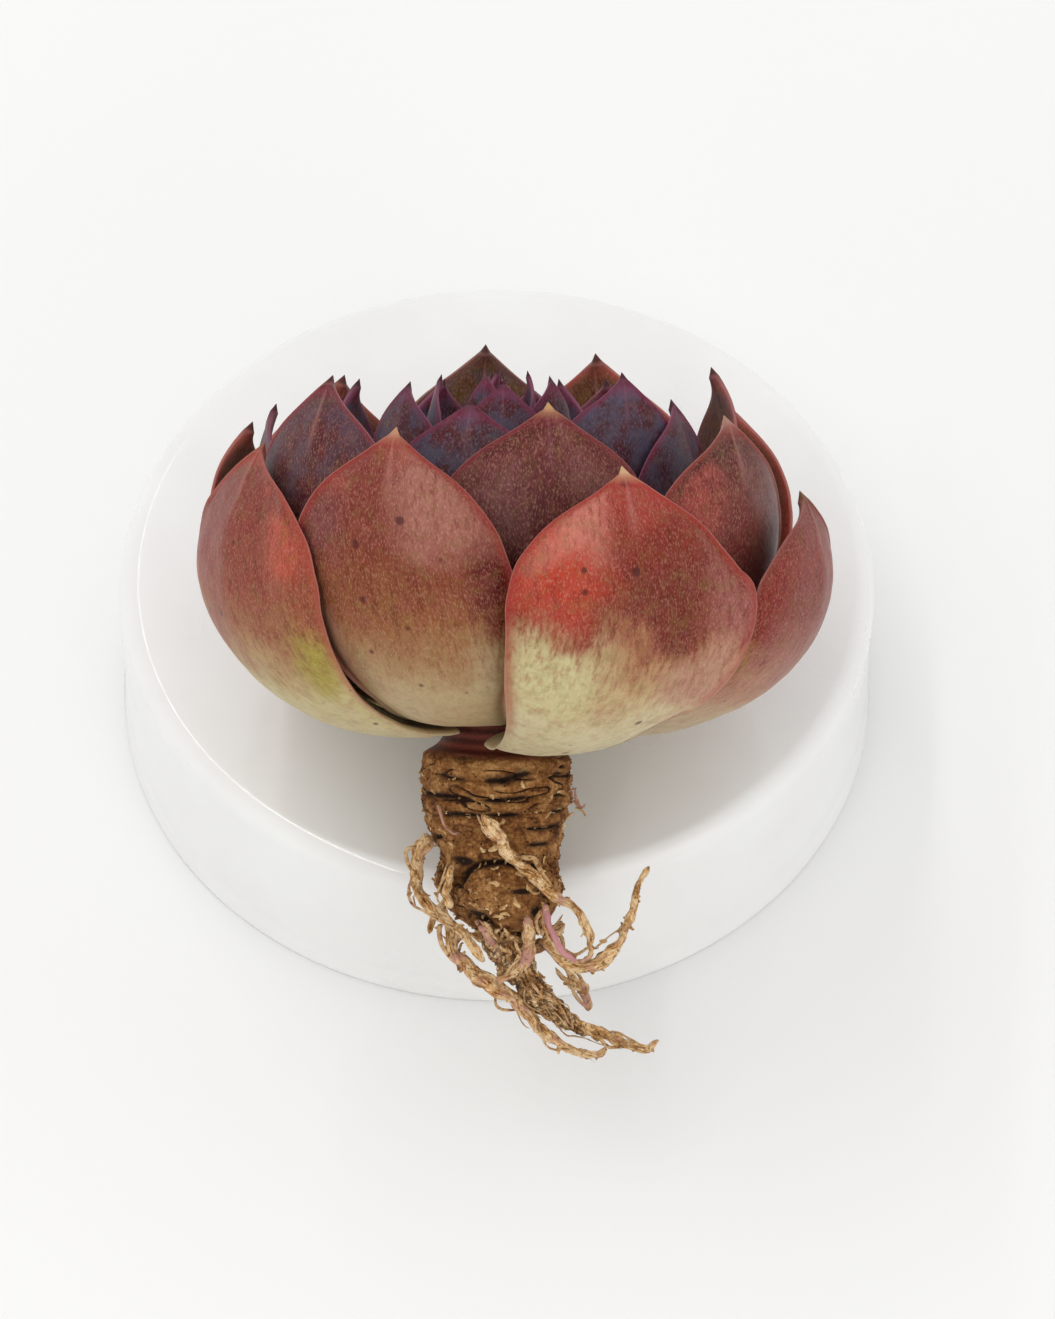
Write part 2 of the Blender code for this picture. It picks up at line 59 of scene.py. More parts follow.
def softLeast(a, b, sharpness=6.0):  # the lesser of two, with the crease between them rounded
    a, b = np.broadcast_arrays(a, b)
    low = np.minimum(a, b)
    return low - np.log(np.exp(-sharpness * (a - low)) + np.exp(-sharpness * (b - low))) / sharpness


def linear(hexColour):  # sRGB hex to Blender's linear colour
    parts = [int(hexColour[k:k + 2], 16) / 255 for k in (1, 3, 5)]
    return (*[p / 12.92 if p <= 0.04045 else ((p + 0.055) / 1.055) ** 2.4 for p in parts], 1.0)


def feed(node, inputs):  # sets a node's inputs, or links them to another node's output
    for key, value in inputs.items() if isinstance(inputs, dict) else enumerate(inputs):
        if isinstance(value, bpy.types.NodeSocket):
            node.id_data.links.new(value, node.inputs[key])
        else:
            node.inputs[key].default_value = linear(value) if str(value).startswith("#") else value


nodeFronts = ("ShaderNode", "GeometryNode", "FunctionNode", "Node")  # what Blender puts before a kind's name
nodeHabits = {  # for some kinds: the output used here, the setting that mode changes, the inputs a list fills
    "Mix": (2, "data_type", (0, 6, 7)),
    "Attribute": (2, "attribute_name", ()),
    "MapRange": (0, "interpolation_type", ()),
    "TexNoise": (0, "", ("Vector", "Scale", "Detail", "Roughness")),
    "Bump": (0, "", ("Height", "Strength", "Distance")),
    "ResampleCurve": (0, "mode", ()),
}


def nodeAdder(tree):  # a function that adds one node to the tree, with its settings, inputs and colour stops
    def add(kind, inputs=(), mode=None, out=None, stops=(), **settings):
        usual, setting, order = nodeHabits.get(kind, (0, "operation", ()))
        made = tree.nodes.new(next(front + kind for front in nodeFronts if hasattr(bpy.types, front + kind)))
        for name, value in {**settings, **({setting: mode} if mode else {})}.items():
            setattr(made, name, value)
        feed(made, dict(zip(order, inputs)) if order and isinstance(inputs, list) else inputs)
        for k, (place, colour) in enumerate(stops):
            ramp = made.color_ramp.elements
            step = ramp[k] if k < 2 else ramp.new(place)
            step.position = place
            step.color = linear(colour)
        return made.outputs[usual if out is None else out] if made.outputs else made
    return add


def newFinish(name, **values):
    finish = bpy.data.materials.new(name)
    finish.use_nodes = True
    shader = finish.node_tree.nodes["Principled BSDF"]
    feed(shader, {key.replace("_", " "): value for key, value in values.items()})
    return finish, nodeAdder(finish.node_tree), shader


def placed(name, data):  # an object for a mesh, a light or the camera, put in the scene
    made = bpy.data.objects.new(name, data)
    scene.collection.objects.link(made)
    return made


def turnOutwards(mesh, mergeWithin=None):  # merges doubles where asked, and turns every face outwards
    shape = bmesh.new()
    shape.from_mesh(mesh)
    if mergeWithin:
        bmesh.ops.remove_doubles(shape, verts=shape.verts[:], dist=mergeWithin)
    bmesh.ops.recalc_face_normals(shape, faces=shape.faces[:])
    shape.to_mesh(mesh)
    shape.free()
    mesh.shade_smooth()


def overlay(add, colour, tone, noise, low, high, most):  # lays a colour where the noise is high
    mask = add("MapRange", [noise, low, high, 0.0, most])
    return add("Mix", [mask, colour, tone], "RGBA")


def newPiece(name, points, faces, finish, attributes=None):  # points in metres, in the frame's own place
    mesh = bpy.data.meshes.new(name)
    mesh.from_pydata([tuple(p) for p in points], [], faces)
    for key, values in (attributes or {}).items():
        values = np.asarray(values, dtype=np.float32)
        kind, field = ("FLOAT_VECTOR", "vector") if values.ndim == 2 else ("FLOAT", "value")
        mesh.attributes.new(key, kind, "POINT").data.foreach_set(field, values.ravel())
    turnOutwards(mesh)
    mesh.materials.append(finish)
    return placed(name, mesh)


def wall(rings, sides, first=0):  # quads round closed rings of points, with a fan's middle left to the caller
    return [
        (first + r * sides + s, first + r * sides + (s + 1) % sides,
         first + (r + 1) * sides + (s + 1) % sides, first + (r + 1) * sides + s)
        for r in range(rings - 1) for s in range(sides)
    ]


def closedTube(rings, sides):  # the wall and a fan over each end, whose middle points come last
    last = rings * sides
    start = [(s, last, (s + 1) % sides) for s in range(sides)]
    end = [(last - sides + s, last - sides + (s + 1) % sides, last + 1) for s in range(sides)]
    return wall(rings, sides) + start + end


def cubicWeights(places, count):  # rows that read a smooth curve through evenly spaced values
    places = np.clip(np.asarray(places, float), 0, count - 1.0001)
    low = places.astype(int)
    t = places - low
    weights = np.zeros((len(places), count))
    parts = (
        (-1, 0.5 * (-t + 2 * t**2 - t**3)), (0, 0.5 * (2 - 5 * t**2 + 3 * t**3)),
        (1, 0.5 * (t + 4 * t**2 - 3 * t**3)), (2, 0.5 * (-(t**2) + t**3)),
    )
    for step, part in parts:
        np.add.at(weights, (np.arange(len(places)), np.clip(low + step, 0, count - 1)), part)
    return weights


def runTree(name, source, tree, values):  # a Geometry Nodes tree turned into a plain mesh piece
    worker = placed(name + "Source", source)
    modifier = worker.modifiers.new("grow", "NODES")
    modifier.node_group = tree
    for socket in tree.interface.items_tree:
        if socket.in_out == "INPUT" and socket.name in values:
            modifier[socket.identifier] = values[socket.name]
    ready = worker.evaluated_get(bpy.context.evaluated_depsgraph_get())
    mesh = bpy.data.meshes.new_from_object(ready)
    bpy.data.objects.remove(worker)
    mesh.name = name
    return placed(name, mesh)


def newTree(name, sockets):
    tree = bpy.data.node_groups.new(name, "GeometryNodeTree")
    tree.interface.new_socket("Geometry", in_out="INPUT", socket_type="NodeSocketGeometry")
    for label, kind in sockets.items():
        tree.interface.new_socket(label, in_out="INPUT", socket_type="NodeSocket" + kind)
    tree.interface.new_socket("Geometry", in_out="OUTPUT", socket_type="NodeSocketGeometry")
    return tree, tree.nodes.new("NodeGroupInput").outputs, nodeAdder(tree)


# the rosette's rule, in millimetres: +Z runs out of the growing tip, the front faces -Y

rosette = {
    "leaves": 34,
    "goldenTurn": 137.5077,  # degrees from one leaf to the next
    "firstTurn": 23.0,
    "radius": 35.0,
    "height": 35.0,
    "centreRise": 6.5,
    "halfWidth": 14.2,
    "thickness": 5.2,
    "coreRadius": 6.4,
    "coreHeight": 18.5,
    "leafSeat": 0.75,
    "gap": 0.35,
    "leanBack": 50.0,
    "leanRight": 1.5,
    "fieldRows": 45,
    "fieldColumns": 27,
    "reach": 11.0,
}
# turn in degrees, tip rise, tip opening and sideways tip lean in millimetres, share of the usual width
leafCharacter = {
    0: (1, -3.6, 0.5, -0.4, 0.98), 1: (-2, 8.0, 0.0, 0.5), 2: (0, -3.0, -0.6, -0.6, 1.1),
    3: (-6, -7.0, 4.6, 1.2, 1.05), 4: (8, 4.0, 0.0, 0.0), 5: (-9, -1.4, 0.0, -2.6, 0.9),
    6: (-3, 1.6, 3.4, 0.0), 7: (-12, -2.2, 2.8, 0.0), 8: (12, 0.0, 1.6, 0.6, 1.14),
    9: (5, 7.0, 0.0, 0.0), 10: (-6, 2.8, 0.4, 0.5), 11: (6, 4.6, -1.0, -0.6),
    13: (-1, 0.0, 0.0, 0.6, 1.1), 14: (0, 2.4, 0.0, 0.0), 15: (-10, -1.5, 4.6, 0.0),
    18: (10, -0.8, 0.0, 0.0, 1.1), 20: (0, 0.6, 1.5, -1.0), 21: (6, 1.9, 4.6, 0.6, 1.15),
}
outlineAlong = np.array([0, 0.12, 0.3, 0.5, 0.66, 0.78, 0.87, 0.93, 0.97, 1.0])
outlineWidth = np.array([0.36, 0.46, 0.64, 0.89, 0.99, 1.0, 0.87, 0.6, 0.27, 0.05])


def coreRadius(height):
    share = np.clip(height / rosette["coreHeight"], 0, 1)
    return rosette["coreRadius"] * (1 - share) ** 0.9


def leafOutline(along):
    slopes = np.gradient(outlineWidth, outlineAlong)
    span = np.clip(np.searchsorted(outlineAlong, along) - 1, 0, len(outlineAlong) - 2)
    width = outlineAlong[span + 1] - outlineAlong[span]
    t = (along - outlineAlong[span]) / width
    return (
        (2 * t**3 - 3 * t**2 + 1) * outlineWidth[span]
        + (t**3 - 2 * t**2 + t) * width * slopes[span]
        + (-2 * t**3 + 3 * t**2) * outlineWidth[span + 1]
        + (t**3 - t**2) * width * slopes[span + 1]
    )


def leafSheet(number, along):  # the line down a leaf's back, and the directions across it
    r = rosette
    age = number / (r["leaves"] - 1)
    inward = age**1.45
    turn, rise, opening, lean, width = (*leafCharacter.get(number, (0, 0, 0, 0)), 1.0)[:5]
    seatHeight = blend(0.9, r["coreHeight"], age)
    tipRadius = blend(0.885 * r["radius"], 1.2, inward) + opening
    belly = blend(1.23 * r["radius"], 4.0, inward) + 0.6 * opening
    curve = np.array([
        (float(coreRadius(seatHeight)) + r["leafSeat"], seatHeight),
        (blend(0.69 * r["radius"], 3.2, inward), blend(-3.2, r["coreHeight"] + 3.5, age**1.1)),
        (belly, blend(0.37 * r["height"], 31.0, inward) + 0.4 * rise),
        (tipRadius, r["height"] + r["centreRise"] * inward**0.6 + rise),
    ])
    t = along[:, None]
    s = 1 - t
    line = s**3 * curve[0] + 3 * s**2 * t * curve[1] + 3 * s * t**2 * curve[2] + t**3 * curve[3]
    slope = s**2 * (curve[1] - curve[0]) + 2 * s * t * (curve[2] - curve[1]) + t**2 * (curve[3] - curve[2])
    slope /= np.linalg.norm(slope, axis=1)[:, None]
    facing = math.radians(r["firstTurn"] + number * r["goldenTurn"] + turn)
    outwards = np.array([math.sin(facing), -math.cos(facing), 0.0])
    sideways = np.array([math.cos(facing), math.sin(facing), 0.0])
    up = np.array([0.0, 0.0, 1.0])
    centre = line[:, :1] * outwards + line[:, 1:] * up
    centre = centre + (lean * ease(0.6, 1.0, along))[:, None] * sideways
    half = blend(r["halfWidth"], 3.2, inward**1.1) * width * leafOutline(along)
    cup = np.maximum(line[:, 0] * 0.78, 3.2)
    cup = np.maximum(blend(34.0, cup, ease(0.0, 0.34, along)), half * 0.8)
    thick = blend(r["thickness"], 1.5, inward) * (0.45 + 0.55 * ease(0.0, 0.45, along))
    return {
        "centre": centre, "sideways": sideways, "inwards": -slope[:, 1:] * outwards + slope[:, :1] * up,
        "half": half, "cup": cup, "thick": thick * (1 - 0.82 * ease(0.62, 1.0, along)),
        "length": np.concatenate([[0], np.cumsum(np.linalg.norm(np.diff(line, axis=0), axis=1))]),
    }


def onSheet(sheet, across, depth):  # points at shares across each row, that deep inwards from the leaf's back
    cup = sheet["cup"][:, None]
    bend = across * sheet["half"][:, None] / cup
    aside = (cup - depth) * np.sin(bend)
    inside = cup - (cup - depth) * np.cos(bend)
    outline = sheet["centre"][:, None] + aside[..., None] * sheet["sideways"]
    return outline + inside[..., None] * sheet["inwards"][:, None]


def roomInside(sheet, columns, younger, clearance):  # how deep a leaf may reach before it meets a younger one
    reach = rosette["reach"]
    room = np.full((rosette["fieldRows"], len(columns)), reach + 1.0)
    if younger is None:
        return room
    across = np.broadcast_to(columns, room.shape)
    far, near = onSheet(sheet, across, -reach), onSheet(sheet, across, 0.0)
    for row, column in np.ndindex(*room.shape):
        start = Vector(far[row, column])
        hit = younger.ray_cast(start, (Vector(near[row, column]) - start).normalized(), 2 * reach)
        if hit[0] is not None:
            room[row, column] = hit[3] - reach - clearance
    return room


def leastNearby(field, spread):
    padded = np.pad(field, spread, mode="edge")
    rows, columns = field.shape
    steps = range(2 * spread + 1)
    return np.min([padded[i:i + rows, j:j + columns] for i in steps for j in steps], axis=0)


def softened(field, passes):
    for _ in range(passes):
        p = np.pad(field, 1, mode="edge")
        field = 0.4 * field + 0.15 * (p[:-2, 1:-1] + p[2:, 1:-1] + p[1:-1, :-2] + p[1:-1, 2:])
    return field


def leafShape(number, younger, rows, sides):  # one fleshy leaf that lies on the younger leaves inside it
    fieldAlong = np.linspace(0, 1, rosette["fieldRows"]) ** 0.93
    fieldSheet = leafSheet(number, fieldAlong)
    columns = np.linspace(-1.1, 1.1, rosette["fieldColumns"])
    room = leastNearby(roomInside(fieldSheet, columns, younger, rosette["gap"] - 0.1), 2)
    flesh = fieldSheet["thick"][:, None] * np.clip(1 - columns**2, 0, 1) ** 0.65
    shift = softened(0.8 * np.clip(0.7 * flesh - room, 0, None), 8)
    room = softened(room, 2)
    along = 1 - (1 - np.linspace(0, 1, rows)) ** 1.3
    sheet = leafSheet(number, along)
    closing = np.sqrt(np.clip(1 - (np.clip(0.03 - along, 0, None) / 0.03) ** 2, 0.0004, 1))
    sheet["half"] = sheet["half"] * closing
    turn = 2 * math.pi * (np.arange(sides) + 0.5) / sides
    across, swing = np.broadcast_to(np.cos(turn), (rows, sides)), np.sin(turn)[None, :]
    readRows = cubicWeights(along ** (1 / 0.93) * (rosette["fieldRows"] - 1), rosette["fieldRows"])
    columnPlaces = (np.cos(turn) + 1.1) / 2.2 * (rosette["fieldColumns"] - 1)
    readColumns = cubicWeights(columnPlaces, rosette["fieldColumns"])
    pushed = readRows @ shift @ readColumns.T
    deepest = readRows @ room @ readColumns.T
    thick = (sheet["thick"] * closing)[:, None]
    least = (0.22 + 0.32 * np.abs(swing)) * closing[:, None]
    face = softLeast(np.abs(swing) ** 1.3 * thick - pushed, deepest)
    keel = 0.34 * np.exp(-((across / 0.13) ** 2)) * ease(0.62, 0.93, along)[:, None] * thick / 3.0
    rolled = 0.1 * thick * ease(0.72, 1.0, np.abs(across)) ** 2
    back = softLeast(-pushed - keel + rolled, face - least, 9.0)
    depth = np.where(swing > 0, face, back)
    seed = Vector((number * 7.3, number * 3.1, 0.0))
    surface = onSheet(sheet, across, depth)
    for row, side in np.ndindex(rows, sides):  # the slight dents of a grown surface
        at = Vector(surface[row, side])
        dent = 0.16 * noise.noise(at * 0.16 + seed) + 0.05 * noise.noise(at * 0.55 + seed)
        depth[row, side] += dent * min(1.0, float(thick[row, 0]) / 2.5)
    points = onSheet(sheet, across, depth).reshape(-1, 3)
    radius = np.hypot(points[:, 0], points[:, 1])
    leastRadius = coreRadius(points[:, 2]) + rosette["gap"]
    close = (radius < leastRadius) & (points[:, 2] < rosette["coreHeight"])
    points[:, :2] *= np.where(close, leastRadius / np.maximum(radius, 0.05), 1.0)[:, None]
    # the horny point: the last ring drawn out and closed
    ring = points[-sides:]
    middle = ring.mean(axis=0)
    ahead = sheet["centre"][-1] - sheet["centre"][-4]
    ahead = ahead / np.linalg.norm(ahead) + 0.25 * np.array([0.0, 0.0, 1.0])
    pointShares = np.array([0.12, 0.28, 0.46, 0.64, 0.8, 0.92])
    pointLength = blend(1.0, 0.6, number / rosette["leaves"])
    narrowing = [(1 - q) ** 0.75 * (1 - 0.35 * q) for q in pointShares]
    drawn = [middle + (ring - middle) * n + q * pointLength * ahead for n, q in zip(narrowing, pointShares)]
    points = np.concatenate([points, *drawn])
    ends = np.array([points[:sides].mean(axis=0), middle + pointLength * ahead])
    extra = len(pointShares)
    aside = across * sheet["half"][:, None]
    rowLength = np.broadcast_to(sheet["length"][:, None], (rows, sides))
    inner = np.broadcast_to(0.5 + 0.5 * np.clip(swing * 3, -1, 1), (rows, sides))
    place = np.stack([aside, rowLength, 2.5 * np.broadcast_to(swing, (rows, sides))], axis=-1)
    edge = np.minimum((1 - np.abs(across)) * sheet["half"][:, None], (sheet["length"][-1] - rowLength) * 0.6)
    grids = {
        "alongLeaf": np.broadcast_to(along[:, None], (rows, sides)), "acrossLeaf": across,
        "edgeGap": edge, "innerFace": inner, "leafPlace": place,
    }
    attributes = {}
    for key, grid in grids.items():
        grid = np.concatenate([grid, *[grid[-1:]] * extra])
        if key == "alongLeaf":
            grid[rows:] += 0.05 * pointShares[:, None]
        flat = grid.reshape((rows + extra) * sides, -1)
        both = np.concatenate([flat, flat[:1], flat[-1:]])
        attributes[key] = both if flat.shape[1] == 3 else both[:, 0]
    grid = points[:rows * sides].reshape(rows, sides, 3)
    return np.concatenate([points, ends]), attributes, grid, rows + extra


# the plant leans back on the tub; the tip of its core, the stem's highest and rearmost point, gives its place
backTurn, sideTurn = math.radians(-rosette["leanBack"]), math.radians(rosette["leanRight"])
plantTurn = np.array(Matrix.Rotation(backTurn, 3, "X") @ Matrix.Rotation(sideTurn, 3, "Y"))
tipHeight = rosette["coreHeight"] - 0.8
coreTip = np.array([(0.2 * math.cos(a), 0.2 * math.sin(a), tipHeight) for a in np.arange(24) * math.tau / 24])
plantOrigin = np.array(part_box("stem")[1]) / mm - (coreTip @ plantTurn.T).max(axis=0)
plantOrigin[0] = 0.0


def planted(points):  # millimetres in the plant's own frame to metres in the model's
    return (np.asarray(points) @ plantTurn.T + plantOrigin) * mm


# colours from the seat of a leaf to its tip; a patch is (along, across, long, wide, colour, strength); most
# patches are the leaf's own colour, and a few are painted highlights and a painted shadow
leafLooks = {
    0: {
        "stops": [(0.0, "#beb391"), (0.4, "#c3b88e"), (0.52, "#b69b6e"), (0.62, "#9d6947"), (0.7, "#833c29"),
            (0.79, "#712517"), (0.89, "#7b2617"), (0.97, "#9a3930")],
        "patches": [(0.56, -0.62, 0.16, 0.6, "#c6c08e", 0.9), (0.8, -0.66, 0.14, 0.6, "#b23c28", 0.9),
            # the first patch on the next line, light pink along the margin near the tip, is a painted highlight
            (0.89, -0.6, 0.09, 0.44, "#cf8676", 0.62), (0.74, 0.3, 0.14, 0.4, "#6a2213", 0.8),
            (0.74, 0.84, 0.16, 0.26, "#9a625c", 0.6), (0.54, 0.75, 0.14, 0.5, "#b08470", 0.85)],
        "spots": 1.0, "edge": "#9c2a28",
    },
    5: {
        "stops": [(0.0, "#a8946f"), (0.4, "#a8936a"), (0.52, "#99754c"), (0.63, "#895531"), (0.76, "#7b3a21"),
            (0.87, "#773324"), (0.93, "#783027"), (0.98, "#92463b")],
        # the second patch on the next line, olive brown low on the left, is a painted shadow cast by leaf 2's
        # edge
        "patches": [(0.73, 0.84, 0.16, 0.34, "#5c1210", 0.95), (0.46, -0.8, 0.14, 0.36, "#75643a", 0.6),
            (0.88, 0.5, 0.11, 0.6, "#b07a6c", 0.55), (0.84, -0.74, 0.13, 0.34, "#703a3b", 0.8),
            (0.46, 0.8, 0.16, 0.36, "#b2a27a", 0.7), (0.56, -0.84, 0.18, 0.22, "#a67d68", 0.6)],
        "spots": 1.0, "edge": "#8c1c1f",
    },
    2: {
        "stops": [(0.0, "#b5a17e"), (0.38, "#b9ae7c"), (0.5, "#aa9161"), (0.61, "#95613d"), (0.73, "#89422c"),
            (0.84, "#803024"), (0.93, "#78291d"), (1.0, "#83312a")],
        "patches": [(0.52, 0.78, 0.16, 0.26, "#9a8e3a", 0.95), (0.82, 0.74, 0.12, 0.26, "#b24e3a", 0.85),
            (0.7, -0.82, 0.22, 0.24, "#ad7868", 0.8), (0.42, -0.5, 0.12, 0.6, "#bcb584", 0.7)],
        "spots": 0.8, "edge": "#aa4638",
    },
    3: {
        "stops": [(0.0, "#aca07b"), (0.36, "#ac9775"), (0.48, "#a27659"), (0.62, "#8e5447"), (0.76, "#7c372f"),
            (0.9, "#802a22"), (1.0, "#6f1e18")],
        "patches": [(0.78, -0.8, 0.16, 0.28, "#7c1d15", 0.95), (0.56, -0.88, 0.2, 0.2, "#8e602c", 0.85),
            # the last patch on the next line, pale pink, is a painted sheen
            (0.72, 0.7, 0.22, 0.36, "#a87f7a", 0.7)],
        "spots": 0.5, "edge": "#7a271e",
    },
    8: {
        "stops": [(0.0, "#9c7462"), (0.34, "#8a5a4e"), (0.54, "#7d4b49"), (0.68, "#6a2b2c"), (0.86, "#65221e"),
            (1.0, "#501717")],
        "patches": [(0.86, -0.6, 0.1, 0.4, "#9c443c", 0.8), (0.74, 0.66, 0.18, 0.4, "#8a6062", 0.7)],
        "spots": 1.0, "edge": "#9c3c36",
    },
    13: {
        "stops": [(0.0, "#805a56"), (0.45, "#663a40"), (0.66, "#532023"), (0.82, "#582325"), (0.93, "#612928"),
            (1.0, "#571a1b")],
        "patches": [(0.88, 0.4, 0.1, 0.34, "#80504e", 0.6), (0.8, -0.5, 0.14, 0.4, "#764848", 0.6)],
        "spots": 0.5, "edge": "#84303a",
    },
    9: {
        "stops": [(0.0, "#a89270"), (0.4, "#94704e"), (0.62, "#743b2c"), (0.84, "#59241d"), (1.0, "#341211")],
        "patches": [], "spots": 0.5, "edge": "#5c2e28",
    },
}
# what the other leaves of an age group share
groupLooks = {
    "outer": {
        "stops": [(0.0, "#b9ad86"), (0.38, "#b3a274"), (0.52, "#a1784d"), (0.66, "#844229"), (0.82, "#77291e"),
            (1.0, "#6c1e1e")],
        "patches": [], "spots": 0.8, "edge": "#a8413c",
    },
    "middle": {
        "stops": [(0.0, "#937c6a"), (0.4, "#784d47"), (0.6, "#5c2b2e"), (0.82, "#531c20"), (1.0, "#4a1219")],
        "patches": [], "spots": 0.7, "edge": "#8e3440",
    },
    "inner": {
        "stops": [(0.0, "#64424c"), (0.4, "#402632"), (0.62, "#2e1720"), (0.84, "#3d0f19"), (1.0, "#4f0d19")],
        "patches": [], "spots": 0.4, "edge": "#86264a",
    },
}
olderLeaf = 0.4  # leaves under this share of the age keep the pale rim and flecks


def leafSkin(name, look, age, seed):  # living epidermis under a thin wax: satin, speckled, cloudy in colour
    finish, add, shader = newFinish(
        name, Roughness=0.44, IOR=1.42, Subsurface_Weight=blend(0.1, 0.03, age), Subsurface_Scale=1.6 * mm,
        Subsurface_Radius=(1.0, 0.42, 0.25), Sheen_Weight=blend(0.02, 0.08, age), Sheen_Roughness=0.45,
        Sheen_Tint="#c9c6dc", Specular_IOR_Level=0.22,
    )
    place = add("Attribute", (), "leafPlace", out=1)
    along, across, edge, inner = [
        add("Attribute", (), name) for name in ("alongLeaf", "acrossLeaf", "edgeGap", "innerFace")
    ]
    old = age < olderLeaf
    own = add("Mapping", {"Vector": place, "Location": (seed * 3.7, seed * 9.1, seed * 1.3)})
    drawn = add("VectorMath", [own, (1.0, 0.3, 1.0)], "MULTIPLY")
    cloud = add("TexNoise", [own, 0.16, 3.0])  # 6 mm clouds
    streak = add("TexNoise", [drawn, 1.9, 4.0, 0.62])
    # the ramp along the leaf, its bands broken up by clouds and lengthwise streaks
    cloudy = add("Math", [cloud, 0.26, -0.13], "MULTIPLY_ADD")
    streaky = add("Math", [streak, 0.09, -0.045], "MULTIPLY_ADD")
    moved = add("Math", [along, cloudy], "ADD")
    moved = add("Math", [moved, streaky], "ADD")
    colour = add("ValToRGB", {"Fac": moved}, stops=look["stops"])
    spread = add("CombineXYZ", [moved, across])
    # patches of the leaf's own colour, among them a few painted highlights and a painted shadow
    for atAlong, atAcross, long, wide, patchColour, strength in look["patches"]:
        away = add("VectorMath", [spread, (atAlong, atAcross, 0.0)], "SUBTRACT")
        away = add("VectorMath", [away, (1 / long, 1 / wide, 1.0)], "MULTIPLY")
        away = add("VectorMath", [away], "LENGTH", out=1)
        mask = add("MapRange", [away, 1.15, 0.25, 0.0, strength], "SMOOTHSTEP")
        colour = add("Mix", [mask, colour, patchColour], "RGBA")
    # the hidden inner face is greener and duller than the back
    depth = add("MapRange", [along, 0.35, 0.72])
    seat, field = ("#b3a27c", "#6d5138") if age < 0.35 else ("#6a4a4c", "#4a2530")
    insideColour = add("Mix", [depth, seat, field], "RGBA")
    insideMask = add("Math", [inner, 0.62], "MULTIPLY")
    colour = add("Mix", [insideMask, colour, insideColour], "RGBA")
    # red mottling between pale flecks 0.3 mm wide and 0.8 mm long
    mottle = add("MapRange", [streak, 0.46, 0.68, 0.0, 0.62])
    ripe = add("MapRange", [moved, 0.42, 0.66, 0.26, 1.0])
    mottle = add("Math", [mottle, ripe], "MULTIPLY")
    mottled = add("Mix", [1.0, colour, "#b86a5c"], "RGBA", blend_type="MULTIPLY")
    colour = add("Mix", [mottle, colour, mottled], "RGBA")
    flecked = add("VectorMath", [own, (1.0, 0.42, 1.0)], "MULTIPLY")
    fleck = add("TexNoise", [flecked, 6.0, 2.0, 0.6])
    fleckMask = add("MapRange", [fleck, 0.5, 0.66, 0.0, blend(0.7, 0.75, age)])
    inField = add("MapRange", [along, 0.16, 0.42], "SMOOTHSTEP")
    fleckMask = add("Math", [fleckMask, inField], "MULTIPLY")
    fleckShare, paleFleck = (0.34, "#d9a58e") if old else (0.48, "#8d8399")
    fleckTone = add("Mix", [fleckShare, colour, paleFleck], "RGBA")
    colour = add("Mix", [fleckMask, colour, fleckTone], "RGBA")
    for turned, tint in ((0.0, "#77682a"), (7.0, "#944c48")):  # olive shows through in places, rose in others
        shifted = add("VectorMath", [own, (turned, turned, 0.0)], "ADD")
        field = add("TexNoise", [shifted, 0.62, 6.0, 0.72])
        colour = overlay(add, colour, tint, field, 0.49, 0.66, 0.3 * blend(1.0, 0.25, age))
    # blue-grey wax lies in clouds on the young leaves and is rubbed off elsewhere
    waxCloud = add("TexNoise", [own, 0.3, 5.0, 0.6])
    colour = overlay(add, colour, "#514f62", waxCloud, 0.43, 0.62, look["wax"])
    # scattered dark spots, 0.5 to 1.3 mm
    cells = add("TexVoronoi", {"Vector": own, "Scale": 0.2}, voronoi_dimensions="2D").node.outputs
    pick = add("SeparateColor", [cells["Color"]])
    size = add("MapRange", [pick, 0.4, 1.0, 0.0, 0.15 * look["spots"]])
    spot = add("Math", [size, cells["Distance"]], "SUBTRACT")
    spot = add("MapRange", [spot, 0.0, 0.08, 0.0, 0.8], "SMOOTHSTEP")
    # the margin: a red line, then a pale horny rim
    redLine = add("MapRange", [edge, 1.5, 0.15, 0.0, 0.5], "SMOOTHSTEP")
    redLine = add("Math", [redLine, inField], "MULTIPLY")
    rim = add("MapRange", [edge, 0.16, 0.03, 0.0, 0.28])
    rim = add("Math", [rim, inField], "MULTIPLY")
    # painted highlight: the keel near the tip is painted lighter, and the point dries to horn
    keelHighlightSide = add("MapRange", [across, 0.0, 0.09, 1.0, 0.0])
    keelHighlightBack = add("MapRange", [across, -0.09, 0.0, 0.0, 1.0])
    keel = add("Math", [keelHighlightSide, keelHighlightBack], "MINIMUM")
    keelHighlightRun = add("MapRange", [along, 0.86, 0.95, 0.0, 0.26], "SMOOTHSTEP")
    keel = add("Math", [keel, keelHighlightRun], "MULTIPLY")
    tip = add("MapRange", [along, 0.984, 1.016, 0.0, 0.9])
    rimTone = "#c99088" if old else "#8d6478"
    # the keel's layer below is a painted highlight
    layers = (
        (spot, "#4a1a1a"), (redLine, look["edge"]), (rim, rimTone), (keel, look["keel"]), (tip, look["tip"]),
    )
    for mask, tone in layers:
        colour = add("Mix", [mask, colour, tone], "RGBA")
    rough = add("MapRange", [waxCloud, 0.3, 0.7, 0.36, blend(0.5, 0.62, age)])
    # papillae and lengthwise fibre under the skin
    pore = add("Math", [fleck, 0.55], "MULTIPLY")
    height = add("Math", [streak, pore], "ADD")
    bump = add("Bump", [height, 0.35, 0.12 * mm])
    feed(shader, {"Base Color": colour, "Roughness": rough, "Normal": bump})
    return finish


leafTips = {0: "#c9a67c", 5: "#b98d6a", 13: "#bb9566", 8: "#a98070", 2: "#8d4b3c", 3: "#6a5136"}
leafFinesse = {"outer": (92, 80), "middle": (78, 66), "inner": (52, 46)}


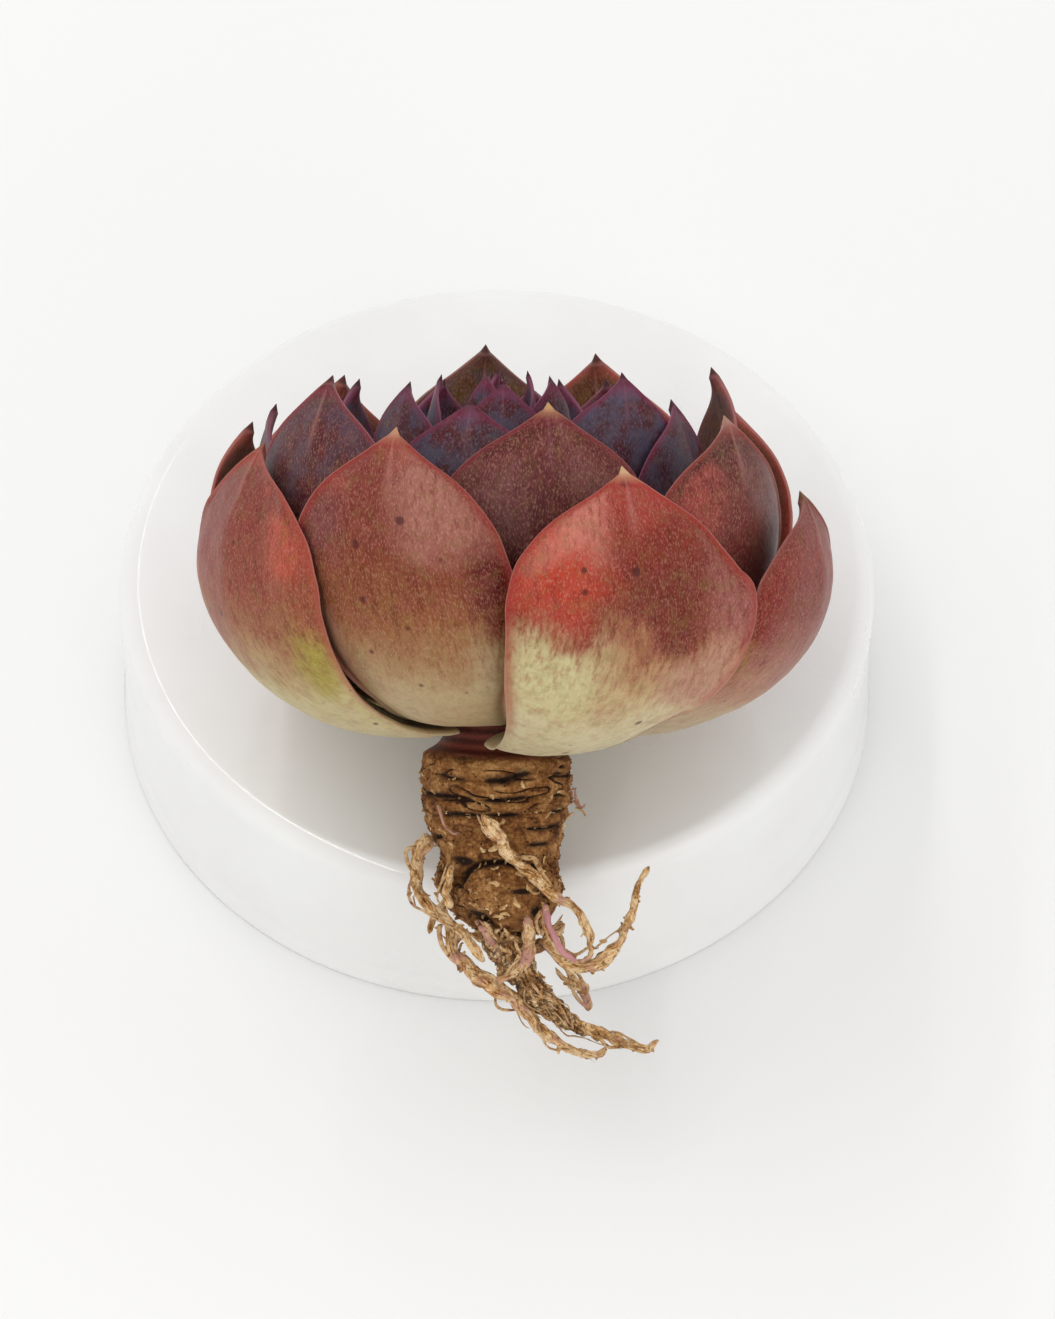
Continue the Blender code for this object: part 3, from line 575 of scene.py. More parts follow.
def makeLeaves():
    pieces = []
    points, faces = [], []
    for number in reversed(range(rosette["leaves"])):
        group = "outer" if number < 8 else "middle" if number < 16 else "inner"
        age = number / (rosette["leaves"] - 1)
        rows, sides = leafFinesse[group]
        younger = BVHTree.FromPolygons(points, faces) if points else None
        own, attributes, grid, rings = leafShape(number, younger, rows, sides)
        coarse = grid[::2, ::2].reshape(-1, 3)
        start = len(points)
        points += [tuple(p) for p in coarse]
        faces += wall(grid[::2].shape[0], sides // 2, start)
        look = dict(leafLooks.get(number, groupLooks[group]))
        look["wax"] = 0.0 if number < 9 or number == 13 else 0.35 if number < 16 else 0.72
        look["tip"] = leafTips.get(number, "#3a1c1c")
        # the colour of the painted highlight along the keel near the tip
        look["keel"] = "#8d5c66" if number > 12 else "#c88f82"
        finish = leafSkin(f"leafSkin{number + 1:02d}", look, age, number)
        title = f"succulentLeaf{number + 1:02d}"
        piece = newPiece(title, planted(own), closedTube(rings, sides), finish, attributes)
        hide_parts(f"leaf_{number + 1:02d}")
        pieces.append(piece)
    return pieces


stemShape = {
    "radius": 8.3,
    "length": 22.5,
    "ringPitch": 2.3,
    "heel": 0.4,
    "rows": 330,
    "sides": 240,
}
stemOutline = [  # height as a share of the length below the leaves, radius as a share, drift in mm
    (-0.28, 1.0, 0.1), (-0.38, 0.93, 0.0), (-0.5, 0.84, 0.3), (-0.57, 0.8, 0.5), (-0.72, 0.85, 0.9),
    (-0.84, 0.72, 1.2), (-0.94, 0.46, 1.7), (-1.0, 0.06, 2.2),
]


def stemRows():
    length, radius = stemShape["length"], stemShape["radius"]
    rows = [(0.0, 6.6, 0.0), (-0.6, 7.4, 0.0), (-1.2, 8.1, 0.0), (-2.2, 8.3, 0.0)]
    rows += [(share * length, wide * radius, drift) for share, wide, drift in stemOutline]
    table = np.array([(3.0, 5.4, 0.0), (0.8, 6.1, 0.0), *rows])[::-1]
    heights = np.linspace(2.6, -length, stemShape["rows"])
    smooth = np.ones(9) / 9
    out = []
    for column in (1, 2):
        values = np.interp(heights, table[:, 0], table[:, column])
        out.append(np.convolve(np.pad(values, 4, mode="edge"), smooth, mode="valid"))
    out[0][-6:] = out[0][-6:] * np.linspace(1, 0.05, 6)
    return heights, out[0], out[1]


def knobRise(height, turn, plain):  # the root knob in front of the crown; away is 1 at its rim
    aside = plain * ((turn + math.pi / 2 + math.pi) % (2 * math.pi) - math.pi)
    away = math.hypot((aside - 0.2) / 5.0, (height + 16.7) / 4.0)
    return (1.5 * math.sqrt(max(0.0, 1 - away * away)) if abs(aside) < 9 else 0.0), aside, away


def stemSurface(height, turn, plain):  # radius, and how deep in a crack the point is, from 0 to 1
    length = stemShape["length"]
    east, north = math.cos(turn), math.sin(turn)
    around = Vector((1.5 * east, 1.5 * north, 0.0))

    def ripple(across, along, shift=(0.0, 0.0, 0.0)):
        return noise.noise(Vector((across * east, across * north, along * height)) + Vector(shift))

    wander = noise.noise(around * 0.9 + Vector((4.0, 1.0, 9.0 + height * 0.12)))
    # scars of fallen leaves: low rounded bands, their fissures torn open only here and there
    ringed = float(ease(-0.54 * length, -0.46 * length, height) * ease(-0.3, -1.2, height))
    phase = height / stemShape["ringPitch"] + 0.75 * wander + 0.18 * math.sin(2 * turn + 0.5)
    band = math.sin(math.pi * (phase - math.floor(phase))) ** 0.4
    torn = float(ease(-0.12, 0.3, noise.noise(around * 1.5 + Vector((0.0, 6.0, height * 0.22)))))
    fissure = (1 - band) * (0.15 + 0.85 * torn)
    upper = 0.35 + 0.65 * float(ease(-0.4 * length, -0.24 * length, height))
    where = float(ease(-0.25, 0.2, ripple(1.6, 0.33, (1.0, 8.0, 5.0))))
    rip = max(0.0, 1 - 8 * abs(ripple(2.3, 0.95, (7.0, 3.0, 0.0)))) * where * upper
    radius = plain + ringed * (0.2 * band - 0.75 * fissure - 0.55 * rip)
    # the crack share also sets where painted shade goes on the bark
    crack = ringed * max(min(1.0, 1.4 * fissure), 0.9 * rip)
    # the lumpy crown, with a knob in front under a lip, and a hollow beside it
    lumpy = float(ease(-0.45 * length, -0.6 * length, height))
    lobes = 0.05 * math.sin(3 * turn + 0.4 * height) + 0.04 * math.sin(5 * turn - 0.3 * height)
    radius += lumpy * plain * lobes
    radius += 0.7 * lumpy * ripple(2.4, 0.38)
    rise, aside, away = knobRise(height, turn, plain)
    if abs(aside) < 9:
        def dimple(atAside, atHeight, wide, tall):
            return math.exp(-(math.hypot((aside - atAside) / wide, (height - atHeight) / tall) ** 2))

        radius += rise
        rimGap = math.exp(-(((away - 1.05) / 0.09) ** 2)) * (1.0 if height > -16.0 else 0.3)
        hollow = dimple(-2.8, -19.6, 1.2, 1.4)
        pits = dimple(2.2, -15.6, 1.3, 0.3) + dimple(3.6, -18.2, 0.8, 0.9) + dimple(-4.2, -12.6, 1.6, 0.5)
        radius += 0.55 * dimple(1.0, -11.9, 5.0, 0.45) - 1.0 * rimGap - 2.6 * hollow - 0.8 * pits
        crack = max(crack, rimGap, min(1.0, hollow * 1.6), min(1.0, pits))
    if lumpy > 0:
        vein = max(0.0, 1 - 9 * abs(ripple(3.0, 0.42, (2.0, 0.0, 0.0)))) * lumpy * (0.4 if rise > 0.3 else 1.0)
        radius -= 0.4 * vein
        crack = max(crack, 0.7 * vein)
    radius += stemShape["heel"] * max(0.0, north) * lumpy
    rough = float(ease(-0.3, -1.0, height))
    return radius + rough * (0.24 * ripple(7, 1.1) + 0.14 * ripple(16, 3.0) + 0.09 * ripple(27, 6.5)), crack


def corkFinish():  # cork over old leaf scars: dry, matt, tan ridges, with painted shade in the cracks
    finish, add, shader = newFinish("corkyBark", Roughness=0.86, IOR=1.45, Specular_IOR_Level=0.3)
    place = add("TexCoord", out=3)
    place = add("VectorMath", {0: place, "Scale": 1 / mm}, "SCALE")  # in millimetres
    crack = add("Attribute", (), "crack")
    height = add("Attribute", (), "stemHeight")
    patch = add("TexNoise", [place, 0.42, 5.0, 0.65])
    fibre = add("TexNoise", [place, 2.4, 5.0, 0.7])
    tone = add("Math", [patch, 0.6], "MULTIPLY")
    tone = add("Math", [fibre, 0.4, tone], "MULTIPLY_ADD")
    colour = add("ValToRGB", {"Fac": tone}, stops=[
        (0.38, "#4a280f"), (0.46, "#754820"), (0.53, "#926436"), (0.61, "#b78a58"), (0.69, "#85552a")])
    # painted shade: the cracks, the gap round the knob, the hollow and the pits are painted near black
    colour = overlay(add, colour, "#22120a", crack, 0.1, 0.62, 0.96)
    grit = add("TexNoise", [place, 3.6, 3.0, 0.7])
    colour = overlay(add, colour, "#2f1a0d", grit, 0.6, 0.7, 0.8)
    # the collar under the leaves is fresh leaf base: red-brown, smooth and a little shiny
    wavy = add("Math", [patch, 1.6, height], "MULTIPLY_ADD")
    collar = add("MapRange", [wavy, -0.35, 0.35], "SMOOTHSTEP")
    bands = add("Math", [height, 5.5, fibre], "MULTIPLY_ADD")
    bands = add("Math", [bands], "SINE")
    bands = add("MapRange", [bands, -1.0, 1.0])
    fresh = add("Mix", [bands, "#4b2019", "#7a3d31"], "RGBA")
    colour = add("Mix", [collar, colour, fresh], "RGBA")
    rough = add("MapRange", {0: collar, 3: 0.88, 4: 0.38})
    bump = add("Bump", [fibre, 0.7, 0.22 * mm])
    feed(shader, {"Base Color": colour, "Roughness": rough, "Normal": bump})
    return finish


def makeStem(cork):
    heights, radii, drifts = stemRows()
    sides = stemShape["sides"]
    points, cracks, rows = [], [], []
    for height, plain, drift in zip(heights, radii, drifts):
        for side in range(sides):
            turn = 2 * math.pi * side / sides
            radius, crack = stemSurface(height, turn, plain)
            radius = max(radius, 0.02)
            points.append((drift + radius * math.cos(turn), radius * math.sin(turn), height))
            cracks.append(crack)
            rows.append(height)
    points += [(0.0, 0.0, heights[0]), (drifts[-1], 0.0, heights[-1])]
    attributes = {"crack": cracks + [0.0, 0.0], "stemHeight": rows + [heights[0], heights[-1]]}
    piece = newPiece("corkyStem", planted(points), closedTube(len(heights), sides), cork, attributes)
    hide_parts("stem")
    return piece


# points (right, towards the front, up) in millimetres, radii at both ends, how flat, how pink
rootRoutes = {
    "root_strap_front": ([
        (-1.2, 7.5, -7.0), (0.5, 6.0, -9.6), (1.4, 5.0, -12.0), (3.6, 5.4, -14.0), (6.4, 7.0, -15.8),
        (9.3, 7.2, -17.6), (10.6, 6.6, -20.0), (10.9, 5.8, -22.0)], (0.8, 0.42), 0.55, 0.15),
    "root_loop_left": ([
        (-6.8, 0.8, -10.2), (-8.4, 1.8, -11.8), (-8.7, 2.2, -14.4), (-8.2, 2.6, -16.8), (-6.8, 3.4, -18.6),
        (-4.6, 4.6, -19.8), (-2.6, 5.4, -21.6), (-0.8, 5.4, -24.0)], (0.7, 0.5), 0.6, 0.1),
    "root_side_left": ([
        (-3.6, 4.8, -13.2), (-4.9, 5.2, -14.8), (-5.4, 5.2, -16.4), (-4.7, 5.6, -18.0)], (0.62, 0.5), 0.6, 0.0),
    "root_long_left": ([
        (-3.4, 1.0, -20.4), (-4.6, 2.0, -22.8), (-2.6, 2.6, -25.0), (0.1, 2.8, -27.2), (2.4, 2.6, -28.4),
        (4.2, 2.6, -30.2), (6.2, 2.4, -32.4), (9.2, 2.2, -34.2), (12.2, 2.2, -34.8), (13.0, 2.2, -33.8)
    ], (0.95, 0.36), 0.65, 0.2),
    "root_hook_right": ([
        (4.9, 1.6, -19.6), (6.4, 3.4, -22.0), (9.2, 4.4, -24.4), (12.4, 4.6, -23.6), (14.6, 4.8, -20.6),
        (15.7, 5.0, -17.6), (16.4, 5.2, -14.6), (17.3, 5.4, -12.8)], (0.95, 0.4), 0.6, 0.2),
    "root_pink": ([
        (5.4, 6.2, -17.0), (6.1, 7.0, -18.6), (6.8, 7.4, -20.4), (7.9, 7.4, -22.2), (9.4, 6.8, -23.6)
    ], (0.42, 0.36), 0.9, 1.0),
    "root_knot": ([
        (2.8, 5.4, -18.4), (3.8, 5.0, -21.2), (3.7, 5.0, -23.4), (2.4, 5.4, -25.2), (0.8, 5.4, -26.2)
    ], (0.95, 0.6), 0.5, 0.35),
    "root_stub_front": ([
        (-0.4, 4.6, -19.8), (0.3, 4.4, -22.0), (1.0, 3.8, -24.4)], (0.7, 0.5), 0.7, 0.5),
    "root_tail_low": ([
        (3.0, -0.6, -22.4), (3.6, -0.2, -25.2), (5.2, 0.4, -28.0), (8.0, 0.6, -30.6), (11.0, 0.6, -32.0),
        (14.0, 0.6, -33.0), (17.6, 0.6, -34.2), (19.2, 0.6, -33.4)], (0.95, 0.32), 0.55, 0.05),
    "root_tail_right": ([
        (4.3, -0.6, -20.2), (7.0, -0.8, -23.6), (9.2, -1.0, -26.2), (10.8, -1.2, -28.6), (11.0, -1.4, -30.4)
    ], (0.75, 0.4), 0.7, 0.3),
    "root_behind": ([
        (-1.0, -3.0, -20.4), (0.4, -3.4, -23.4), (2.8, -3.4, -26.6), (5.2, -3.0, -29.4)
    ], (0.8, 0.42), 0.7, 0.1),
    "root_behind_left": ([
        (-3.6, -5.4, -17.4), (-6.2, -6.0, -19.8), (-7.2, -5.6, -22.6)], (0.6, 0.4), 0.8, 0.1),
}
matCore = {  # soil and fine roots matted together under the crown
    "knots": [(0.6, 2.6, -19.4), (1.6, 2.6, -22.4), (3.2, 2.2, -25.2), (5.4, 1.8, -28.2), (8.2, 1.4, -30.8),
              (10.6, 1.2, -32.4)],
    "radii": (3.0, 0.4),
    "flat": 0.75,
}
# thin rootlets of their own shape: points, then the girth
rootlets = [
    ([(-6.4, 5.4, -6.4), (-6.2, 7.2, -6.7), (-5.6, 7.6, -8.4), (-4.6, 7.6, -9.3), (-3.9, 7.3, -9.2)], 0.17),
    ([(8.0, 2.2, -5.0), (8.8, 2.4, -4.6), (9.0, 2.6, -5.6), (9.6, 2.8, -6.6), (10.1, 2.9, -6.2)], 0.16),
    ([(8.7, 2.4, -5.8), (9.2, 2.8, -6.4), (9.9, 2.7, -7.1)], 0.13),
    ([(10.8, 5.8, -21.4), (11.1, 5.6, -22.6), (10.4, 5.6, -23.4), (9.4, 5.8, -23.5)], 0.24),
]
fibreRule = {"seed": 11, "core": 26, "busy": 5, "plain": 2, "reach": 1.7, "spread": 0.55, "girth": (0.13, 0.32)}
busyRoots = ("root_long_left", "root_tail_low", "root_tail_right", "root_behind", "root_loop_left")


def smoothPath(knots, steps):  # the knots' second number points to the front, which is -Y
    knots = [np.array((x, -y, z), float) for x, y, z in knots]
    ends = [2 * knots[0] - knots[1], *knots, 2 * knots[-1] - knots[-2]]
    path = []
    for a, b, c, d in zip(ends, ends[1:], ends[2:], ends[3:]):
        for t in np.arange(steps) / steps:
            bend = (2 * a - 5 * b + 4 * c - d) * t**2 + (3 * b - a - 3 * c + d) * t**3
            path.append(0.5 * (2 * b + (c - a) * t + bend))
    path.append(knots[-1])
    return np.array(path)


def clearOfStem(point, radius, rows):  # straight out from the stem's axis until the root clears the bark
    heights, radii, drifts = rows
    x, y, z = point
    if z < -stemShape["length"] - radius:
        return point
    drift = float(np.interp(z, heights[::-1], drifts[::-1]))
    nearby = np.clip(z + np.array([-1.5, -0.75, 0, 0.75, 1.5]) * radius, -stemShape["length"], 0)
    turn = math.atan2(y, x - drift)
    plain = max(float(np.interp(h, heights[::-1], radii[::-1])) for h in nearby)
    least = plain + 0.8 * knobRise(z, turn, plain)[0] + 0.62 * radius + 0.35
    away = math.hypot(x - drift, y)
    if away >= least:
        return point
    return np.array([drift + least * math.cos(turn), least * math.sin(turn), z])


def rootSkin(add, turn, run, stretch):  # a place on a root's skin, round it and along it, with no seam
    angle = add("Math", [turn, math.tau], "MULTIPLY")
    east, north = [add("Math", [angle], operation) for operation in ("COSINE", "SINE")]
    length = add("Math", [run, stretch], "MULTIPLY")
    return add("CombineXYZ", [east, north, length])


def rootTree():  # grows a flattened, wrinkled, peeling tube along a path whose points carry their own girth
    tree, entry, add = newTree("rootTube", {
        "Step": "Float", "Flatness": "Float", "Wrinkle": "Float", "Pits": "Float", "Sides": "Int",
        "Bark": "Material"})
    curve = add("MeshToCurve", [entry["Geometry"]])
    curve = add("ResampleCurve", {"Curve": curve, "Length": entry["Step"]}, "LENGTH")
    girth = add("InputNamedAttribute", {"Name": "girth"})
    swell = add("TexNoise", {"Scale": 520.0, "Detail": 2.0})
    swell = add("Math", [swell, 0.9, 0.55], "MULTIPLY_ADD")
    girth = add("Math", [girth, swell], "MULTIPLY")
    spline = add("SplineParameter", out="Length")
    run = add("Math", [spline, 1 / mm], "MULTIPLY")
    curve = add("StoreNamedAttribute", {0: curve, "Name": "rootRun", "Value": run})
    twist = add("TexNoise", {"Scale": 160.0, "Detail": 1.0})
    twist = add("Math", [twist, 7.0], "MULTIPLY")
    curve = add("SetCurveTilt", {"Curve": curve, "Tilt": twist})
    ring = add("CurvePrimitiveCircle", {"Resolution": entry["Sides"], "Radius": 1.0})
    around = add("SplineParameter", out="Factor")
    ring = add("StoreNamedAttribute", {0: ring, "Name": "rootTurn", "Value": around})
    squash = add("CombineXYZ", [1.0, entry["Flatness"], 1.0])
    ring = add("Transform", {"Geometry": ring, "Scale": squash})
    tube = add("CurveToMesh", {"Curve": curve, "Profile Curve": ring, "Scale": girth, "Fill Caps": True})
    turn, run = [add("InputNamedAttribute", {"Name": name}) for name in ("rootTurn", "rootRun")]
    skin = rootSkin(add, turn, run, 0.22)
    ridges = add("TexNoise", [skin, 2.3, 3.0, 0.65])
    ridges = add("Math", [ridges, 0.5], "SUBTRACT")
    ridges = add("Math", [ridges, entry["Wrinkle"]], "MULTIPLY")
    pits = add("TexNoise", {"Scale": 1500.0, "Detail": 2.0})
    pits = add("Math", [pits, 0.5], "SUBTRACT")
    pits = add("Math", [pits, entry["Pits"]], "MULTIPLY")
    rise = add("Math", [ridges, pits], "ADD")
    normal = add("InputNormal")
    offset = add("VectorMath", {0: normal, "Scale": rise}, "SCALE")
    tube = add("SetPosition", {"Geometry": tube, "Offset": offset})
    tube = add("SetShadeSmooth", [tube])
    tube = add("RealizeInstances", [tube])
    tube = add("SetMaterial", {"Geometry": tube, "Material": entry["Bark"]})
    add("GroupOutput", [tube])
    return tree


def pathMesh(name, paths):  # each path is (points in millimetres, girths in millimetres)
    points, edges, girths = [], [], []
    for path, girth in paths:
        start = len(points)
        points += [tuple(p) for p in planted(path)]
        edges += [(start + k, start + k + 1) for k in range(len(path) - 1)]
        girths += [g * mm for g in girth]
    mesh = bpy.data.meshes.new(name)
    mesh.from_pydata(points, edges, [])
    mesh.attributes.new("girth", "FLOAT", "POINT").data.foreach_set("value", np.array(girths, dtype=np.float32))
    return mesh


def rootFinish(name, pink, dirtFrom=0.6):  # thin dry bark that peels in flakes from straw-coloured fibre
    finish, add, shader = newFinish(name, Roughness=0.82, IOR=1.45, Specular_IOR_Level=0.3)
    place = add("TexCoord", out=3)
    place = add("VectorMath", {0: place, "Scale": 1 / mm}, "SCALE")
    turn, run = [add("Attribute", (), name) for name in ("rootTurn", "rootRun")]
    skin = rootSkin(add, turn, run, 0.25)
    fibre = add("TexNoise", [skin, 4.5, 4.0, 0.65])
    patch = add("TexNoise", [place, 0.75, 5.0, 0.7])
    tone = add("Math", [patch, 0.55], "MULTIPLY")
    tone = add("Math", [fibre, 0.45, tone], "MULTIPLY_ADD")
    colour = add("ValToRGB", {"Fac": tone}, stops=[
        (0.36, "#56300f"), (0.43, "#a06c38"), (0.49, "#cfa169"), (0.56, "#efd3a8"), (0.66, "#cf9a5c")])
    blush = add("TexNoise", [place, 0.33, 2.0])
    rose, dirtMost = ("#c98a92", 0.15) if pink > 0.9 else ("#c08d80", 0.85)
    colour = overlay(add, colour, rose, blush, 0.62 - 0.5 * pink, 0.78 - 0.5 * pink, 0.9)
    dirt = add("TexNoise", [place, 1.9, 4.0, 0.7])
    colour = overlay(add, colour, "#4a2c17", dirt, dirtFrom - 0.04, dirtFrom + 0.06, dirtMost)
    bump = add("Bump", [fibre, 0.9, 0.16 * mm])
    feed(shader, {"Base Color": colour, "Normal": bump})
    return finish


def waver(place):  # a wandering offset that is the same each run; noise_vector starts from the clock
    shifts = (Vector((0.0, 0.0, 0.0)), Vector((19.1, 33.4, 47.2)), Vector((71.7, 5.3, 28.9)))
    return [noise.noise(place + shift) for shift in shifts]


def taper(count, radii, bluntness=0.08):  # girth along a root, closed to a soft point at both ends
    share = np.linspace(0, 1, count)
    close = np.sqrt(np.clip(np.minimum(share, 1 - share) / bluntness, 0.02, 1))
    return blend(radii[0], radii[1], share) * close


def growRoot(name, tree, paths, step, flat, wrinkle, pits, sides, bark):  # lengths in millimetres
    piece = runTree(name, pathMesh(name, paths), tree, {
        "Step": step * mm, "Flatness": flat, "Wrinkle": wrinkle * mm, "Pits": pits * mm, "Sides": sides,
        "Bark": bark})
    turnOutwards(piece.data, 0.004 * mm)
    return piece


def makeRoots():
    tree = rootTree()
    rows = stemRows()
    pieces, mains = [], {}
    for name, (knots, radii, flat, pink) in rootRoutes.items():
        path = smoothPath(knots, 8)
        path = np.array([clearOfStem(p, blend(*radii, k / (len(path) - 1)), rows) for k, p in enumerate(path)])
        seed = Vector((len(pieces) * 5.1, 2.0, 3.0))
        path += np.array([waver(Vector(p) * 0.55 + seed) for p in path]) * 0.28
        mains[name] = path
        title = "bare" + "".join(part.capitalize() for part in name.split("_"))
        wide = 0.8 / math.sqrt(flat)
        girths = taper(len(path), (radii[0] * wide, radii[1] * wide), 0.05)
        bark = rootFinish("peelingRootBark" + title[8:], pink)
        piece = growRoot(title, tree, [(path, girths)], 0.16, flat, 0.85 * radii[0], 0.16 * radii[0], 30, bark)
        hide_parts(name)
        pieces.append(piece)
    thin = [(smoothPath(knots, 8), girth) for knots, girth in rootlets]
    thin = [(path, taper(len(path), (girth * 1.2, girth * 0.8))) for path, girth in thin]
    bark = rootFinish("pinkRootletSkin", 0.7)
    pieces.append(growRoot("pinkRootlets", tree, thin, 0.12, 0.8, 0.1, 0.04, 12, bark))
    mains["core"] = path = smoothPath(matCore["knots"], 10)
    core = [(path, taper(len(path), matCore["radii"], 0.16))]
    bark = rootFinish("mattedRootBark", 0.0, 0.46)
    pieces.append(growRoot("mattedRootCore", tree, core, 0.16, matCore["flat"], 2.6, 0.35, 72, bark))
    # fibres that wander beside the main roots and mat the ball together
    rng = np.random.default_rng(fibreRule["seed"])
    fibres = []
    for name, path in mains.items():
        for _ in range(fibreRule["core" if name == "core" else "busy" if name in busyRoots else "plain"]):
            first = int(rng.integers(0, max(1, len(path) // 3)))
            last = int(rng.integers(first + len(path) // 3, len(path)))
            part = path[first:last]
            if len(part) < 6:
                continue
            seed = Vector(rng.uniform(0, 50, 3))
            offset = rng.normal(0, fibreRule["spread"], 3)
            reach = np.array([waver(Vector(p) * 0.32 + seed) for p in part]) * fibreRule["reach"]
            girth = float(rng.uniform(*fibreRule["girth"]))
            lifted = [clearOfStem(p, girth, rows) for p in part + offset + reach]
            fibres.append((np.array(lifted), taper(len(part), (girth * 1.2, girth * 0.55))))
    bark = rootFinish("fibreRootBark", 0.1)
    pieces.append(growRoot("fibreRoots", tree, fibres, 0.22, 0.75, 0.14, 0.05, 10, bark))
    return pieces


def scatterTree(name, flake):  # crumbs of soil, or flakes of bark, over the faces of what it is given
    tree, entry, add = newTree(name, {
        "Density": "Float", "Smallest": "Float", "Largest": "Float", "Sink": "Float", "Seed": "Int",
        "Finish": "Material"})
    spread = add("DistributePointsOnFaces", {
        "Mesh": entry["Geometry"], "Density": entry["Density"], "Seed": entry["Seed"]}).node.outputs
    if flake:
        shape = add("MeshGrid", {"Size X": 1.0, "Size Y": 2.0, "Vertices X": 4, "Vertices Y": 6})
        place = add("InputPosition")
        x, y, _ = add("SeparateXYZ", [place]).node.outputs
        curl = add("Math", [y, y], "MULTIPLY")
        curl = add("Math", [curl, 0.32], "MULTIPLY")
        cup = add("Math", [x, x], "MULTIPLY")
        lift = add("Math", [curl, cup], "SUBTRACT")
        narrow = add("Math", [y], "ABSOLUTE")
        narrow = add("MapRange", [narrow, 0.2, 1.0, 0.0, -0.75])
        narrow = add("Math", [narrow, x], "MULTIPLY")
        offset = add("CombineXYZ", [narrow, 0.0, lift])
    else:
        shape = add("MeshIcoSphere", {"Radius": 0.6, "Subdivisions": 2})
        rock = add("TexNoise", {"Scale": 1.7, "Detail": 1.0}, out=1)
        offset = add("VectorMath", [rock, (-0.5, -0.5, -0.5)], "ADD")
        offset = add("VectorMath", {0: offset, "Scale": 1.2}, "SCALE")
    shape = add("SetPosition", {"Geometry": shape, "Offset": offset})
    if flake:  # a flake has a thickness, so that it is a closed solid
        solid = add("ExtrudeMesh", {"Mesh": shape, "Offset Scale": 0.1, "Individual": False})
        joined = add("JoinGeometry", [solid])
        feed(joined.node, [add("FlipFaces", [shape])])
        shape = add("MergeByDistance", {"Geometry": joined, "Distance": 0.001})
    size = add("RandomValue", {2: entry["Smallest"], 3: entry["Largest"], "Seed": entry["Seed"]}, out=1)
    turn = 6.28  # about a whole turn
    low, high = ((-0.5, -0.3, 0.0), (0.2, 0.3, turn)) if flake else ((0.0, 0.0, 0.0), (turn, turn, turn))
    spin = add("RandomValue", {0: low, 1: high, "Seed": entry["Seed"]}, data_type="FLOAT_VECTOR")
    spin = add("EulerToRotation", [spin])
    stand = add("RotateRotation", [spread["Rotation"], spin], rotation_space="LOCAL")
    shape = add("InstanceOnPoints",
                {"Points": spread["Points"], "Instance": shape, "Rotation": stand, "Scale": size})
    down = add("CombineXYZ", {2: entry["Sink"]})
    shape = add("TranslateInstances", {"Instances": shape, "Translation": down})
    shape = add("RealizeInstances", [shape])
    shape = add("SetMaterial", {"Geometry": shape, "Material": entry["Finish"]})
    add("GroupOutput", [shape])
    return tree


def joinedCopy(sources, keep):  # one plain mesh of the faces that keep() accepts
    points, faces = [], []
    for source in sources:
        mesh = source.data
        base = len(points)
        points += [tuple(v.co) for v in mesh.vertices]
        faces += [tuple(base + k for k in f.vertices) for f in mesh.polygons if keep(f.center)]
    mesh = bpy.data.meshes.new("scatterGround")
    mesh.from_pydata(points, [], faces)
    return mesh


def plainFinish(name, colours, roughness, grain):  # a speckled dry finish for crumbs and flakes
    finish, add, shader = newFinish(name, Roughness=roughness, IOR=1.45, Specular_IOR_Level=0.25)
    place = add("TexCoord", out=3)
    cloud = add("TexNoise", [place, grain, 4.0, 0.7])
    colour = add("ValToRGB", {"Fac": cloud}, stops=[(0.36, colours[0]), (0.5, colours[1]), (0.64, colours[2])])
    bump = add("Bump", [cloud, 0.5, 0.1 * mm])
    feed(shader, {"Base Color": colour, "Normal": bump})
    return finish


litter = {  # pieces per square metre, sizes and sink in millimetres, the plant heights that they lie between
    "soilCrumbs": {"density": 620000.0, "size": (0.07, 0.24), "sink": -0.02, "seed": 4, "from": (-21.5, -2.6)},
    "barkFlakes": {"density": 170000.0, "size": (0.28, 0.75), "sink": 0.03, "seed": 9, "from": (-99.0, -3.0)},
}


def makeLitter(stem, roots):
    drySoil = plainFinish("drySoil", ("#1f120a", "#3d2613", "#7a5836"), 0.95, 900.0)
    peeledBark = plainFinish("peeledBark", ("#7b5430", "#b58d5c", "#dcc08f"), 0.85, 700.0)
    pieces = []
    for name, treeName, flake, ground, finish in (
        ("soilCrumbs", "crumbScatter", False, [stem], drySoil),
        ("barkFlakes", "flakeScatter", True, [stem, *roots], peeledBark),
    ):
        rule = litter[name]
        low, high = rule["from"]
        ground = joinedCopy(ground, lambda p: low < (plantTurn.T @ (np.array(p) / mm - plantOrigin))[2] < high)
        piece = runTree(name, ground, scatterTree(treeName, flake), {
            "Density": rule["density"], "Smallest": rule["size"][0] * mm, "Largest": rule["size"][1] * mm,
            "Sink": rule["sink"] * mm, "Seed": rule["seed"], "Finish": finish})
        pieces.append(piece)
    return pieces


tubShape = {
    "topRadius": 46.0,
    "flare": 1.3,
    "height": 24.0,
    "wall": 1.4,
    "edgeRound": 2.4,
    "sides": 288,
}


